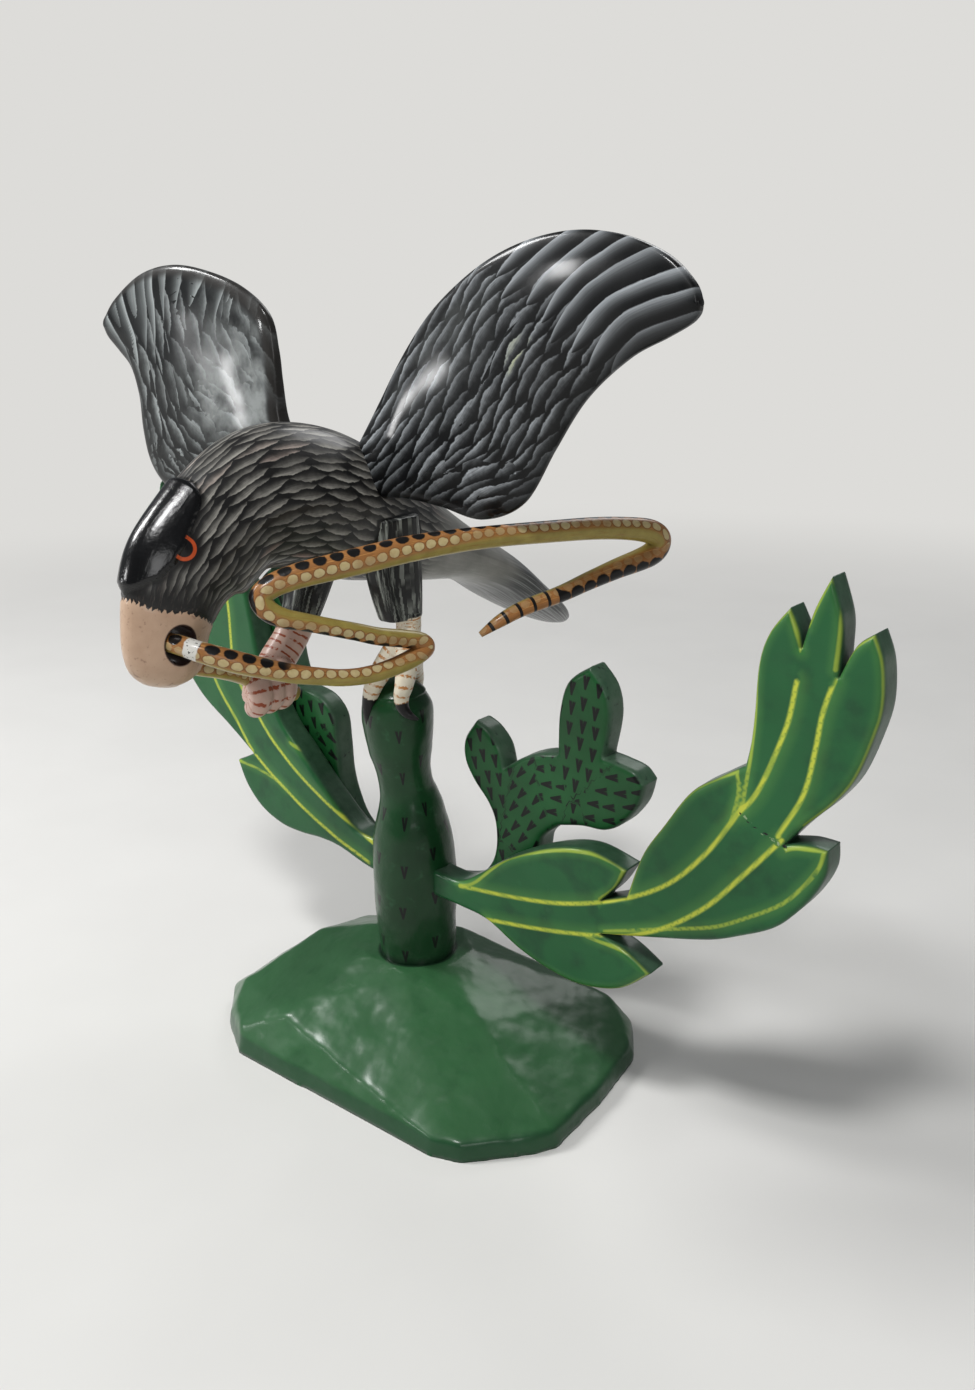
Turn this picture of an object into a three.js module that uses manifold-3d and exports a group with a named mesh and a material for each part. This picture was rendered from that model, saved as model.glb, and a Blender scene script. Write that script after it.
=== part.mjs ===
// Folk art eagle with a snake, standing on a cactus trunk over a rock-like mound.
// Painted carved wood, millimetres. X is the eagle's left, -Y the way it faces, Z is up.
// The origin is on the flat underside of the mound, below the trunk.
import * as THREE from 'three';
import { ConvexGeometry } from 'three/addons/geometries/ConvexGeometry.js';
import { mergeVertices } from 'three/addons/utils/BufferGeometryUtils.js';
import Module from 'manifold-3d';

const wasm = await Module();
wasm.setup();

// Driving dimensions
const GAP = 0.35;              // air between two pieces that touch
const MOUND_TOP = 47;          // height of the mound where the trunk stands
const MOUND_RIM = 9;           // height of the narrow upright side of the mound
const TRUNK_TOP = 198;         // top of the domed trunk
const SOCKET = 6;              // depth that the trunk is let into the mound
const BODY_X = -16;            // the eagle's middle plane
const BODY_SIDES = 21;         // facets round the body
const WING_SIDES = 6;          // facets across each face of a wing
const SPRAY_FRONT = -8;        // front face of the two leaf sprays
const SPRAY_THICK = 15;        // board thickness of the leaf sprays
const NOPAL_THICK = 16;        // board thickness of the nopal branches
const EDGE = 2.2;              // rounding along the edge of a board
const HOLE_R = 8.5;            // radius of the hole bored through the beak
const HOLE_Y = -132.5;         // that hole's place along the head
const HOLE_Z = 244;            // and its height

const V2 = (x, y) => new THREE.Vector2(x, y);
const V3 = (x, y, z) => new THREE.Vector3(x, y, z);

// A closed body from rings of equal point count, with a flat or pointed cap at each end
function loft(rings) {
  const n = rings[0].length;
  const verts = rings.flat();
  const tris = [];
  for (let k = 0; k + 1 < rings.length; k += 1) {
    for (let i = 0; i < n; i += 1) {
      const a = k * n + i;
      const b = k * n + ((i + 1) % n);
      tris.push(a, b, b + n, a, b + n, a + n);
    }
  }
  [0, rings.length - 1].forEach((k, end) => {
    const centre = rings[k].reduce((sum, p) => sum.add(p), V3(0, 0, 0)).divideScalar(n);
    const c = verts.push(centre) - 1;
    for (let i = 0; i < n; i += 1) {
      const a = k * n + i;
      const b = k * n + ((i + 1) % n);
      tris.push(...(end ? [a, b, c] : [b, a, c]));
    }
  });
  const geometry = new THREE.BufferGeometry().setFromPoints(verts);
  geometry.setIndex(tris);
  return geometry;
}

// three.js geometry to a solid for joining and cutting, turned right side out
function solid(geometry) {
  const bare = geometry.clone();
  bare.deleteAttribute('normal');
  bare.deleteAttribute('uv');
  const merged = mergeVertices(bare, 1e-4);
  const vertProperties = new Float32Array(merged.attributes.position.array);
  const triVerts = new Uint32Array(merged.index.array);
  const make = () => new wasm.Manifold(new wasm.Mesh({ numProp: 3, vertProperties, triVerts }));
  const first = make();
  if (first.volume() > 0) return first;
  for (let i = 0; i < triVerts.length; i += 3) triVerts.subarray(i, i + 2).reverse();
  return make();
}

function geometryOf(manifold) {
  const mesh = manifold.getMesh();
  const geometry = new THREE.BufferGeometry();
  geometry.setAttribute('position', new THREE.BufferAttribute(mesh.vertProperties, 3));
  geometry.setIndex(new THREE.BufferAttribute(mesh.triVerts, 1));
  return geometry;
}

const joined = (parts) => parts.slice(1).reduce((sum, part) => sum.add(part), parts[0]);

// Smooth run through rows of numbers; at(t) gives the row at 0..1 along it
function run(rows) {
  const width = rows[0].length;
  const curves = [];
  for (let j = 0; j < width; j += 1) {
    curves.push(new THREE.CatmullRomCurve3(rows.map((row) => V3(row[j], 0, 0)), false, 'catmullrom', 0.5));
  }
  return (t) => curves.map((curve) => curve.getPoint(t).x);
}

// A limb through rows of [x, y, z, radius], round in section
function limb(rows, steps, sides, grow = 0) {
  const path = new THREE.CatmullRomCurve3(rows.map(([x, y, z]) => V3(x, y, z)), false, 'catmullrom', 0.5);
  const radius = run(rows.map((row) => [row[3]]));
  let side = path.getTangent(0).cross(V3(0.31, 0.2, 0.93)).normalize();
  const rings = [];
  for (let k = 0; k <= steps; k += 1) {
    const t = k / steps;
    const along = path.getTangent(t);
    side = side.clone().addScaledVector(along, -side.dot(along)).normalize();
    const up = along.clone().cross(side);
    const centre = path.getPoint(t);
    const r = radius(t)[0] + grow;
    if (k === 0) centre.addScaledVector(along, -grow);
    if (k === steps) centre.addScaledVector(along, grow);
    const ring = [];
    for (let i = 0; i < sides; i += 1) {
      const turn = (2 * Math.PI * i) / sides;
      ring.push(centre.clone().addScaledVector(side, r * Math.cos(turn)).addScaledVector(up, r * Math.sin(turn)));
    }
    rings.push(ring);
  }
  return solid(loft(rings));
}

// Points round a board: smooth runs of [x, z] that meet in corners
function outlineOf(runs, steps) {
  const outline = [];
  runs.forEach((points) => {
    const curve = new THREE.SplineCurve(points.map(([x, z]) => V2(x, z)));
    const count = points.length === 2 ? 1 : (points.length - 1) * steps;
    for (let k = 0; k < count; k += 1) outline.push(curve.getPoint(k / count));
  });
  const end = V2(...runs.at(-1).at(-1));
  if (end.distanceTo(outline[0]) > 1) outline.push(end);
  return THREE.ShapeUtils.isClockWise(outline) ? outline.reverse() : outline;
}

// The outline moved outward by a distance (inward if negative), corners kept short
function offsetOutline(outline, distance) {
  const n = outline.length;
  return outline.map((p, i) => {
    const before = p.clone().sub(outline[(i + n - 1) % n]).normalize();
    const after = outline[(i + 1) % n].clone().sub(p).normalize();
    const mitre = V2(before.y + after.y, -before.x - after.x);
    const reach = Math.max(mitre.lengthSq() / 2, 0.7);
    return p.clone().addScaledVector(mitre, distance / reach);
  });
}

// A board standing in an XZ plane with rounded edges
function board(runs, front, thick, steps = 2) {
  const outline = outlineOf(runs, steps);
  const inner = offsetOutline(outline, -EDGE);
  const layers = [[inner, front], [outline, front + EDGE], [outline, front + thick - EDGE], [inner, front + thick]];
  const n = outline.length;
  const verts = layers.flatMap(([points, y]) => points.map((p) => V3(p.x, y, p.y)));
  const tris = [];
  for (let k = 0; k < 3; k += 1) {
    for (let i = 0; i < n; i += 1) {
      const a = k * n + i;
      const b = k * n + ((i + 1) % n);
      tris.push(a, b, b + n, a, b + n, a + n);
    }
  }
  THREE.ShapeUtils.triangulateShape(outline, []).forEach(([a, b, c]) => {
    tris.push(c, b, a, a + 3 * n, b + 3 * n, c + 3 * n);
  });
  const geometry = new THREE.BufferGeometry().setFromPoints(verts);
  geometry.setIndex(tris);
  return solid(geometry);
}

// The mound: a rock cut to flat facets that run down from the trunk to a narrow upright rim
const MOUND_FOOT = [[-56, -80], [78, -78], [92, -73], [114, -48], [120, -37], [117, 3], [110, 43], [97, 62],
  [72, 74], [-60, 76], [-98, 48], [-106, 0], [-101, -46], [-81, -66]];
const MOUND_CREST = [[-36, 4], [-17, -22], [12, -23], [25, -4], [24, 17], [4, 31], [-24, 26]];
const MOUND_RIDGES = [[-31, -68, 27], [-61, -75, 14], [-78, -63, 15], [-84, -51, 21], [-66, -10, 40],
  [-72, 34, 28], [-52, 62, 20], [60, -20, 36], [46, -56, 24.5], [83, 58, 22]];
function mound() {
  const points = [
    ...MOUND_FOOT.map(([x, y]) => V3(x, y, 0)),
    ...MOUND_FOOT.map(([x, y]) => V3(x * 0.99, y * 0.985, MOUND_RIM)),
    ...MOUND_CREST.map(([x, y]) => V3(x, y, MOUND_TOP)),
    ...MOUND_RIDGES.map((p) => V3(...p)),
  ];
  return solid(new ConvexGeometry(points));
}

// The trunk: round and lumpy, a waist at two thirds, a domed top; it leans a little
const TRUNK = [
  [0, 0, MOUND_TOP - SOCKET, 19.5], [0, 0, 50, 20.4], [0, 0, 68, 21.6], [0, 0, 92, 22.2],
  [-0.4, -0.2, 112, 20.8], [-0.8, -0.4, 126, 17.6], [-2, -1.6, 139, 14.5], [-3, -2.4, 149, 14.3],
  [-3.8, -3, 160, 16.6], [-4.4, -3.5, 174, 18.2], [-4.6, -3.7, 184, 17.8], [-4.4, -3.5, 191, 14.4],
  [-4.2, -3.4, TRUNK_TOP - 2, 8], [-4.2, -3.4, TRUNK_TOP, 2],
];
const trunk = (grow = 0) => limb(TRUNK, 19, 16, grow);

// Both sprays: the stem leaves the trunk, rises in a long curve, and ends in three leaf tips
const SPRAY_RIGHT = [
  [[16, 86], [38, 85], [55, 83], [75, 74], [94, 69], [112, 68], [133, 74], [149, 87]],
  [[149, 87], [136, 94], [122, 98]],
  [[122, 98], [151, 106], [178, 114], [193, 121], [207, 129], [216, 138], [224, 149], [229, 160], [229, 170]],
  [[229, 170], [220, 170], [211, 168]],
  [[211, 168], [219, 178], [230, 190], [238, 202], [244, 219], [247, 233], [246, 249], [242, 260]],
  [[242, 260], [235, 254], [229, 241]],
  [[229, 241], [229.5, 252], [229, 264], [224, 279]],
  [[224, 279], [218, 266], [213.5, 250]],
  [[213.5, 250], [212, 257], [208, 265]],
  [[208, 265], [200, 254], [196, 241], [195, 221], [194, 208], [192, 197]],
  [[192, 197], [180, 189], [167, 179], [154, 160], [144, 144], [136, 121]],
  [[136, 121], [122, 115]],
  [[122, 115], [130, 124], [136, 134]],
  [[136, 134], [115, 138], [94, 133], [68, 120], [50, 107], [38, 99.5], [26, 99], [16, 101]],
];
const SPRAY_LEFT = [
  [[-16, 106], [-35, 107], [-54, 121], [-76, 142], [-91, 157], [-103, 180], [-109, 205], [-113, 228]],
  [[-113, 228], [-130, 246], [-146, 258], [-158, 262]],
  [[-158, 262], [-160, 250], [-158, 236]],
  [[-158, 236], [-168, 252], [-176, 268], [-182, 282]],
  [[-182, 282], [-186, 262], [-184, 240]],
  [[-184, 240], [-190, 240], [-197, 238]],
  [[-197, 238], [-195, 215], [-184, 190], [-170, 170], [-157, 157], [-137, 145], [-117, 132]],
  [[-117, 132], [-124, 128], [-131, 125]],
  [[-131, 125], [-124, 111], [-112, 100], [-96, 94], [-80, 93], [-64, 94], [-49, 93], [-30, 88], [-16, 86]],
];

// Both nopal branches: fat rounded pads on a short stem that leaves the trunk behind the spray
const NOPAL_RIGHT = [
  [[14, 88], [31, 93], [42, 102], [47, 113], [47.2, 127], [43, 137], [34, 147], [28.3, 157], [28.5, 168],
    [36, 179]],
  [[36, 179], [43.5, 175.5], [50.5, 168], [53.3, 158]],
  [[53.3, 158], [64, 165.5], [75, 170.5], [86, 173]],
  [[86, 173], [87, 194], [92, 209.5], [104.5, 219]],
  [[104.5, 219], [113, 209.5], [115.6, 196], [112, 177]],
  [[112, 177], [120, 176], [129, 174], [134.3, 169]],
  [[134.3, 169], [131, 158], [123, 147.5], [113, 141.2], [100, 139.8], [86.6, 136.5]],
  [[86.6, 136.5], [77, 128], [73.5, 116], [62, 102], [44, 88], [14, 76]],
];
const NOPAL_LEFT = [
  [[-14, 80], [-36, 90], [-52, 101], [-59, 113], [-63, 126.5], [-64, 143.5], [-66, 159.5], [-76, 169], [-92, 172]],
  [[-92, 172], [-97, 188], [-99, 208], [-103, 226], [-110, 238]],
  [[-110, 238], [-119, 231], [-128, 218], [-131, 203], [-127, 186], [-120, 170], [-106, 148], [-86, 124],
    [-62, 100], [-38, 78], [-14, 64]],
];

// Rows along the body from the beak's end to the tail's end:
// y, z, half height, half width, and how far the ring leans from upright in degrees
const BODY = [
  [-131, 224, 5, 6, 90], [-130.5, 227, 12, 11, 90], [-130.5, 233, 17.2, 14.4, 90], [-129.8, 243, 19.8, 16, 92],
  [-126, 254, 23, 17, 88], [-121, 264, 26, 18, 74], [-114.5, 271.5, 28.8, 19.5, 58],
  [-104.5, 280.5, 29, 20.5, 44], [-92, 290, 29.5, 22.5, 28], [-76, 295, 31.8, 26, 12], [-58, 294.5, 33.5, 28, 2],
  [-38, 289.5, 34, 28, -8], [-18, 281.5, 32.5, 27, -16], [2, 272, 28, 26.5, -26], [20, 263.5, 24, 25, -32],
  [38, 256, 19.5, 25, -36], [58, 248, 14.5, 27, -38], [78, 237.5, 12, 31, -37], [98, 223.5, 10, 31, -33],
  [118, 210.5, 8, 27, -28], [134, 201, 6, 18, -24], [145, 195, 3, 8, -22],
];
const BACK_PINCH = 0.2;        // how much narrower the back is than the belly
const BODY_STEPS = 37;
function bodyRing([y, z, high, wide, lean]) {
  const slope = THREE.MathUtils.degToRad(lean);
  const ring = [];
  for (let i = 0; i < BODY_SIDES; i += 1) {
    const turn = (2 * Math.PI * i) / BODY_SIDES;
    const up = high * Math.sin(turn);
    const across = wide * Math.cos(turn) * (1 - BACK_PINCH * Math.max(0, Math.sin(turn)));
    ring.push(V3(BODY_X + across, y - up * Math.sin(slope), z + up * Math.cos(slope)));
  }
  return ring;
}
function body() {
  const at = run(BODY);
  const rings = [];
  for (let k = 0; k <= BODY_STEPS; k += 1) rings.push(bodyRing(at(k / BODY_STEPS)));
  return solid(loft(rings));
}

// Wing rows from root to tip: upper edge x, z, lower edge x, z, thickness, y of the middle plane
const WING_NEAR = [
  [-12, 303, -4, 287, 25, -15], [-10, 312, 17, 291, 23, -14], [4, 335.5, 39, 288.5, 19, -12],
  [18, 358, 61, 284.5, 15, -10], [34, 376, 82, 293.5, 12, -8.5], [57, 391.5, 98, 317, 11, -8],
  [81, 401, 115, 339.5, 10.5, -8], [107, 405, 135, 355.5, 10, -8], [131, 402.5, 152, 363.5, 9, -8],
  [151, 395, 162, 368.5, 8, -8], [163, 385, 166, 372, 6.5, -8], [166.5, 378.5, 167, 375.5, 4, -8],
];
const WING_FAR = [
  [-27, 298, -24, 284, 18, -20], [-38, 306, -42, 282, 18, -20], [-50, 313, -72, 280.5, 17, -20],
  [-57, 324, -103, 279.5, 16, -20], [-59, 342, -133, 279.5, 14.5, -20], [-60, 357, -154.5, 282.5, 13, -20],
  [-64.5, 373.5, -167.5, 294, 12, -20], [-82.5, 386, -172.5, 312, 11, -20], [-108, 394, -173, 330.5, 10.5, -20],
  [-135, 397.8, -177.5, 345, 10, -20], [-161.5, 394, -187.5, 354, 9, -20], [-185.5, 382.5, -196.5, 361, 7, -20],
  [-198.5, 372, -200.5, 366.5, 4, -20],
];
const WING_STEPS = 19;
function wing(rows, grow = 0) {
  const at = run(rows);
  const rings = [];
  const outward = Math.sign(rows.at(-1)[0] - rows[0][0]);
  for (let k = 0; k <= WING_STEPS; k += 1) {
    const [x1, z1, x2, z2, thick, plane] = at(k / WING_STEPS);
    const chord = Math.hypot(x2 - x1, z2 - z1);
    const end = (k === 0 ? -1 : k === WING_STEPS ? 1 : 0) * outward * grow;
    const ring = [];
    for (let i = 0; i < 2 * WING_SIDES; i += 1) {
      const turn = (Math.PI * i) / WING_SIDES;
      const across = 0.5 - (0.5 + grow / chord) * Math.cos(turn);
      const crown = Math.sign(Math.sin(turn)) * Math.abs(Math.sin(turn)) ** 0.6;
      const y = plane - (thick / 2 + grow) * (i % WING_SIDES ? crown : 0);
      ring.push(V3(x1 + (x2 - x1) * across + end, y, z1 + (z2 - z1) * across));
    }
    rings.push(ring);
  }
  return solid(loft(rings));
}

// A thigh let into the flank as a block with rounded corners: rows of x, y, z, half width, half depth
const THIGH_NEAR = [[6, -13, 281, 8.5, 13], [6, -13, 268, 8.5, 14], [6, -13, 256, 8.5, 14.5],
  [6, -11.5, 243, 8, 13], [6, -9.5, 231, 7, 11]];
const THIGH_FAR = [[-38, -20, 276, 8, 12], [-38, -22, 264, 8, 13], [-38, -25, 252, 8, 13],
  [-38, -30, 240, 7.5, 11.5], [-38, -35, 229, 7, 9.5]];
const THIGH_STEPS = 5;
const THIGH_SIDES = 12;
function thigh(rows, grow = 0) {
  const at = run(rows);
  const boxy = (value) => Math.sign(value) * Math.abs(value) ** 0.55;
  const rings = [];
  for (let k = 0; k <= THIGH_STEPS; k += 1) {
    const [x, y, z, wide, deep] = at(k / THIGH_STEPS);
    const lift = grow * (k === 0 ? 1 : k === THIGH_STEPS ? -1 : 0);
    const ring = [];
    for (let i = 0; i < THIGH_SIDES; i += 1) {
      const turn = (2 * Math.PI * (i + 0.5)) / THIGH_SIDES;
      ring.push(V3(x + (wide + grow) * boxy(Math.cos(turn)), y + (deep + grow) * boxy(Math.sin(turn)), z + lift));
    }
    rings.push(ring);
  }
  return solid(loft(rings));
}

// The near foot stands on the trunk: two toes lie over its front, one behind, each with a talon
const NEAR_FOOT = [
  [[8, -6.5, 233, 6.5], [7.5, -7, 222, 6], [2, -12.5, 212, 6.2], [-3.2, -19, 200, 5], [-7.2, -20, 190, 3.8],
    [-8.6, -20, 183, 3], [-9.4, -19.2, 177, 2], [-8.8, -19, 170, 0.8]],
  [[8, -6.5, 228, 6], [10, -9, 218, 6], [13.2, -14, 209, 5.6], [14.6, -18, 200.5, 4.6], [13.4, -19, 194, 3.8],
    [14.6, -19, 188.6, 3], [18, -18, 185.4, 2], [22.5, -17, 184, 0.8]],
  [[7, -6, 222, 6], [3, 0, 209, 6], [-2, 7, 200, 4.6], [-5, 12.5, 192, 3.2], [-7, 15, 184, 1.4]],
];

// The far foot is clenched round the snake's neck: toes side by side go over it and curl under
const FAR_SHANK = [[-38, -35, 231, 9], [-38, -42, 221, 8.6], [-38, -51, 212, 8.8], [-37.5, -57, 206, 8.6]];
const FAR_TOES = [-72.5, -64, -55.5];
const farToe = (y) => [[-38, y + 5, 210, 7], [-30.5, y + 1, 208, 6], [-26.5, y, 201.5, 5.4], [-28.5, y, 194, 5],
  [-34.5, y + 1, 191, 4], [-39, y + 2, 193, 2.6]];

// The snake: head in the clenched foot, neck up through the beak, three long bends, tapered tail
const SNAKE = [
  [-33, -45, 194, 3.6], [-34, -50, 196.5, 4.8], [-35.5, -58, 201, 5], [-34.5, -70, 207.5, 4.4],
  [-30, -83.5, 214.5, 4.2], [-27, -96, 220, 4.1], [-29, -107, 224, 4], [-36, -115.5, 229, 4],
  [-41, -125, 236, 4], [-38, -132, 242.5, 4], [-29, -134, 244.8, 4], [-14, -134.2, 244.8, 4.1],
  [0, -134.2, 244.7, 4.2], [9, -131, 242.6, 4.4], [16, -124, 239, 4.7], [21, -118, 236.3, 4.7],
  [26.5, -110, 233.1, 4.3], [31.5, -101.3, 229.9, 4.1], [36, -92, 227.4, 3.8], [40, -82, 225, 3.7],
  [43.5, -71, 224, 3.8], [47, -59.5, 225, 4], [49.8, -48, 227.5, 4.2], [50.8, -41, 230.5, 4.2],
  [50, -43, 233.8, 4.1], [48, -52, 236.8, 4], [46, -65, 240.4, 3.9], [43, -76, 244.5, 3.8],
  [40, -87, 248.4, 3.7], [36, -97, 252, 3.8], [31.5, -105.5, 255, 4.2], [27.5, -110, 258.8, 4.6],
  [25.3, -111, 264, 4.8], [27, -106, 267.9, 5], [31, -97.5, 270.6, 5.3], [35.5, -88.2, 272.2, 5.5],
  [44, -70, 274.6, 5.8], [52.8, -51.5, 277.1, 5.7], [62, -31, 278.3, 5.2], [70.3, -10.8, 278.3, 4.9],
  [79, 11.2, 277.5, 5], [87.7, 34.6, 276.3, 5.2], [94.3, 53.3, 274.1, 5.4], [99, 66.5, 271, 5.8],
  [100.3, 72, 266, 5.8], [98, 68, 259.6, 5.6], [91, 49, 255, 4.8], [85, 35, 251, 4.3],
  [80, 20.2, 247.1, 3.9], [72, 2.9, 242.8, 3.6], [67, -7.7, 238.4, 3], [62, -16.2, 232.9, 1.4],
];
const snake = (grow = 0) => limb(SNAKE, 2 * (SNAKE.length - 1), 8, grow);

// The hole bored through the beak from side to side
const beakHole = () => limb([-42, 12].map((x) => [x, HOLE_Y, HOLE_Z, HOLE_R]), 1, 16);

const airTrunk = trunk(GAP);
const airSnake = snake(GAP);
const nopalFront = SPRAY_FRONT + SPRAY_THICK + GAP;
const wingSlots = [wing(WING_NEAR, GAP), wing(WING_FAR, GAP)];
const thighSlots = [thigh(THIGH_NEAR, GAP), thigh(THIGH_FAR, GAP)];
const nearLeg = joined([thigh(THIGH_NEAR), ...NEAR_FOOT.map((toe) => limb(toe, 9, 7))]);
const farToes = FAR_TOES.map((y) => limb(farToe(y), 7, 7));
const farLeg = joined([thigh(THIGH_FAR), limb(FAR_SHANK, 4, 10), ...farToes]);

const group = new THREE.Group();
function add(name, shape, color, roughness) {
  const material = new THREE.MeshStandardMaterial({ color, roughness, metalness: 0 });
  const mesh = new THREE.Mesh(geometryOf(shape), material);
  mesh.name = name;
  group.add(mesh);
}
add('base_mound', mound().subtract(airTrunk), 0x2a6b3f, 0.25);
add('cactus_trunk', trunk(), 0x2a5f38, 0.3);
add('leaf_spray_right', board(SPRAY_RIGHT, SPRAY_FRONT, SPRAY_THICK).subtract(airTrunk), 0x1f6b3c, 0.3);
add('leaf_spray_left', board(SPRAY_LEFT, SPRAY_FRONT, SPRAY_THICK).subtract(airTrunk), 0x1f6b3c, 0.3);
add('nopal_branch_right', board(NOPAL_RIGHT, nopalFront, NOPAL_THICK).subtract(airTrunk), 0x2f7a48, 0.35);
add('nopal_branch_left', board(NOPAL_LEFT, nopalFront, NOPAL_THICK).subtract(airTrunk), 0x2f7a48, 0.35);
add('eagle_body', body().subtract(joined([...wingSlots, ...thighSlots, beakHole()])), 0x3a3836, 0.4);
add('wing_near', wing(WING_NEAR), 0x1c1f24, 0.25);
add('wing_far', wing(WING_FAR), 0x3a3f44, 0.25);
add('leg_near', nearLeg.subtract(airTrunk), 0xd8d3c6, 0.4);
add('leg_far', farLeg.subtract(airSnake), 0xc9a99b, 0.4);
add('snake', snake(), 0xb5753a, 0.35);

export default group;
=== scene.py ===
# Folk art eagle with a snake on a cactus trunk: painted, varnished, carved wood.
# Sizes are in millimetres and turned to metres where a mesh is made. X is the eagle's left,
# -Y the way it faces, Z up; the origin is under the trunk on the underside of the mound.
import math
import bmesh
import bpy
import numpy as np
from mathutils import Matrix, Vector, geometry, kdtree, noise


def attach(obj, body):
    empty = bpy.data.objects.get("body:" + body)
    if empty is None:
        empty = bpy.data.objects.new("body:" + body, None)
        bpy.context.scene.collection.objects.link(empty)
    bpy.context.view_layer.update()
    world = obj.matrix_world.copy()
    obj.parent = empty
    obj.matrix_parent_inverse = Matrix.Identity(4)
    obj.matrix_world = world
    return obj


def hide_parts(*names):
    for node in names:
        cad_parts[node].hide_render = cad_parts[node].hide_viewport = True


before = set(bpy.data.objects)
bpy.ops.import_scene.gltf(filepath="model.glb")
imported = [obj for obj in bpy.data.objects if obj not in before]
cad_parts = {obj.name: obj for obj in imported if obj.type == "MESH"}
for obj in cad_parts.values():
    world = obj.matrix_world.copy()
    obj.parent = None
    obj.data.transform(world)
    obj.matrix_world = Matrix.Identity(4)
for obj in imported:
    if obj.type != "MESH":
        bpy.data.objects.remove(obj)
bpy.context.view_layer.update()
MM = 0.001

# Driving dimensions: heights of the mound and the trunk, and how deep the trunk is let in
MOUND_TOP = 47
MOUND_RIM = 9
TRUNK_TOP = 198
SOCKET = 6
# The body's middle plane, and how much narrower the body is along its back
BODY_X = -16
BACK_PINCH = 0.2
# The boards' fronts and thicknesses; the nopals stand just behind the sprays
SPRAY_FRONT = -8
SPRAY_THICK = 15
NOPAL_GAP = 0.35
NOPAL_FRONT = SPRAY_FRONT + SPRAY_THICK + NOPAL_GAP
NOPAL_THICK = 16
# The hole in the beak, a little narrower than high
HOLE_R = 8.5
HOLE_Y = -132.5
HOLE_Z = 244
HOLE_OVAL = 0.78

# The mound's corners: x, y round the foot and on the flat top, and x, y, z on the slopes
MOUND_FOOT = [[-56, -80], [78, -78], [92, -73], [114, -48], [120, -37], [117, 3], [110, 43],
              [97, 62], [72, 74], [-60, 76], [-98, 48], [-106, 0], [-101, -46], [-81, -66]]
MOUND_CREST = [[-36, 4], [-17, -22], [12, -23], [25, -4], [24, 17], [4, 31], [-24, 26]]
MOUND_RIDGES = [[-31, -68, 27], [-61, -75, 14], [-78, -63, 15], [-84, -51, 21], [-66, -10, 40],
                [-72, 34, 28], [-52, 62, 20], [60, -20, 36], [46, -56, 24.5], [83, 58, 22]]

# Trunk rows from the socket to the domed top: x, y, z, radius
TRUNK = [
    [0, 0, MOUND_TOP - SOCKET, 19.5], [0, 0, 50, 20.4], [0, 0, 68, 21.6], [0, 0, 92, 22.2],
    [-0.4, -0.2, 112, 20.8], [-0.8, -0.4, 126, 17.6], [-2, -1.6, 139, 14.5],
    [-3, -2.4, 149, 14.3], [-3.8, -3, 160, 16.6], [-4.4, -3.5, 174, 18.2],
    [-4.6, -3.7, 184, 17.8], [-4.4, -3.5, 191, 14.4], [-4.2, -3.4, TRUNK_TOP - 2, 8],
    [-4.2, -3.4, TRUNK_TOP, 2],
]

# Outlines of the boards as smooth runs of x, z that meet in corners
SPRAY_RIGHT = [
    [[16, 86], [38, 85], [55, 83], [75, 74], [94, 69], [112, 68], [133, 74], [149, 87]],
    [[149, 87], [136, 94], [122, 98]],
    [[122, 98], [151, 106], [178, 114], [193, 121], [207, 129], [216, 138], [224, 149],
     [229, 160], [229, 170]],
    [[229, 170], [220, 170], [211, 168]],
    [[211, 168], [219, 178], [230, 190], [238, 202], [244, 219], [247, 233], [246, 249],
     [242, 260]],
    [[242, 260], [235, 254], [229, 241]],
    [[229, 241], [229.5, 252], [229, 264], [224, 279]],
    [[224, 279], [218, 266], [213.5, 250]],
    [[213.5, 250], [212, 257], [208, 265]],
    [[208, 265], [200, 254], [196, 241], [195, 221], [194, 208], [192, 197]],
    [[192, 197], [180, 189], [167, 179], [154, 160], [144, 144], [136, 121]],
    [[136, 121], [122, 115]],
    [[122, 115], [130, 124], [136, 134]],
    [[136, 134], [115, 138], [94, 133], [68, 120], [50, 107], [38, 99.5], [26, 99], [16, 101]],
]
SPRAY_LEFT = [
    [[-16, 106], [-35, 107], [-54, 121], [-76, 142], [-91, 157], [-103, 180], [-109, 205],
     [-113, 228]],
    [[-113, 228], [-130, 246], [-146, 258], [-158, 262]],
    [[-158, 262], [-160, 250], [-158, 236]],
    [[-158, 236], [-168, 252], [-176, 268], [-182, 282]],
    [[-182, 282], [-186, 262], [-184, 240]],
    [[-184, 240], [-190, 240], [-197, 238]],
    [[-197, 238], [-195, 215], [-184, 190], [-170, 170], [-157, 157], [-137, 145], [-117, 132]],
    [[-117, 132], [-124, 128], [-131, 125]],
    [[-131, 125], [-124, 111], [-112, 100], [-96, 94], [-80, 93], [-64, 94], [-49, 93],
     [-30, 88], [-16, 86]],
]
NOPAL_RIGHT = [
    [[14, 88], [31, 93], [42, 102], [47, 113], [47.2, 127], [43, 137], [34, 147],
     [28.3, 157], [28.5, 168], [36, 179]],
    [[36, 179], [43.5, 175.5], [50.5, 168], [53.3, 158]],
    [[53.3, 158], [64, 165.5], [75, 170.5], [86, 173]],
    [[86, 173], [87, 194], [92, 209.5], [104.5, 219]],
    [[104.5, 219], [113, 209.5], [115.6, 196], [112, 177]],
    [[112, 177], [120, 176], [129, 174], [134.3, 169]],
    [[134.3, 169], [131, 158], [123, 147.5], [113, 141.2], [100, 139.8], [86.6, 136.5]],
    [[86.6, 136.5], [77, 128], [73.5, 116], [62, 102], [44, 88], [14, 76]],
]
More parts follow.
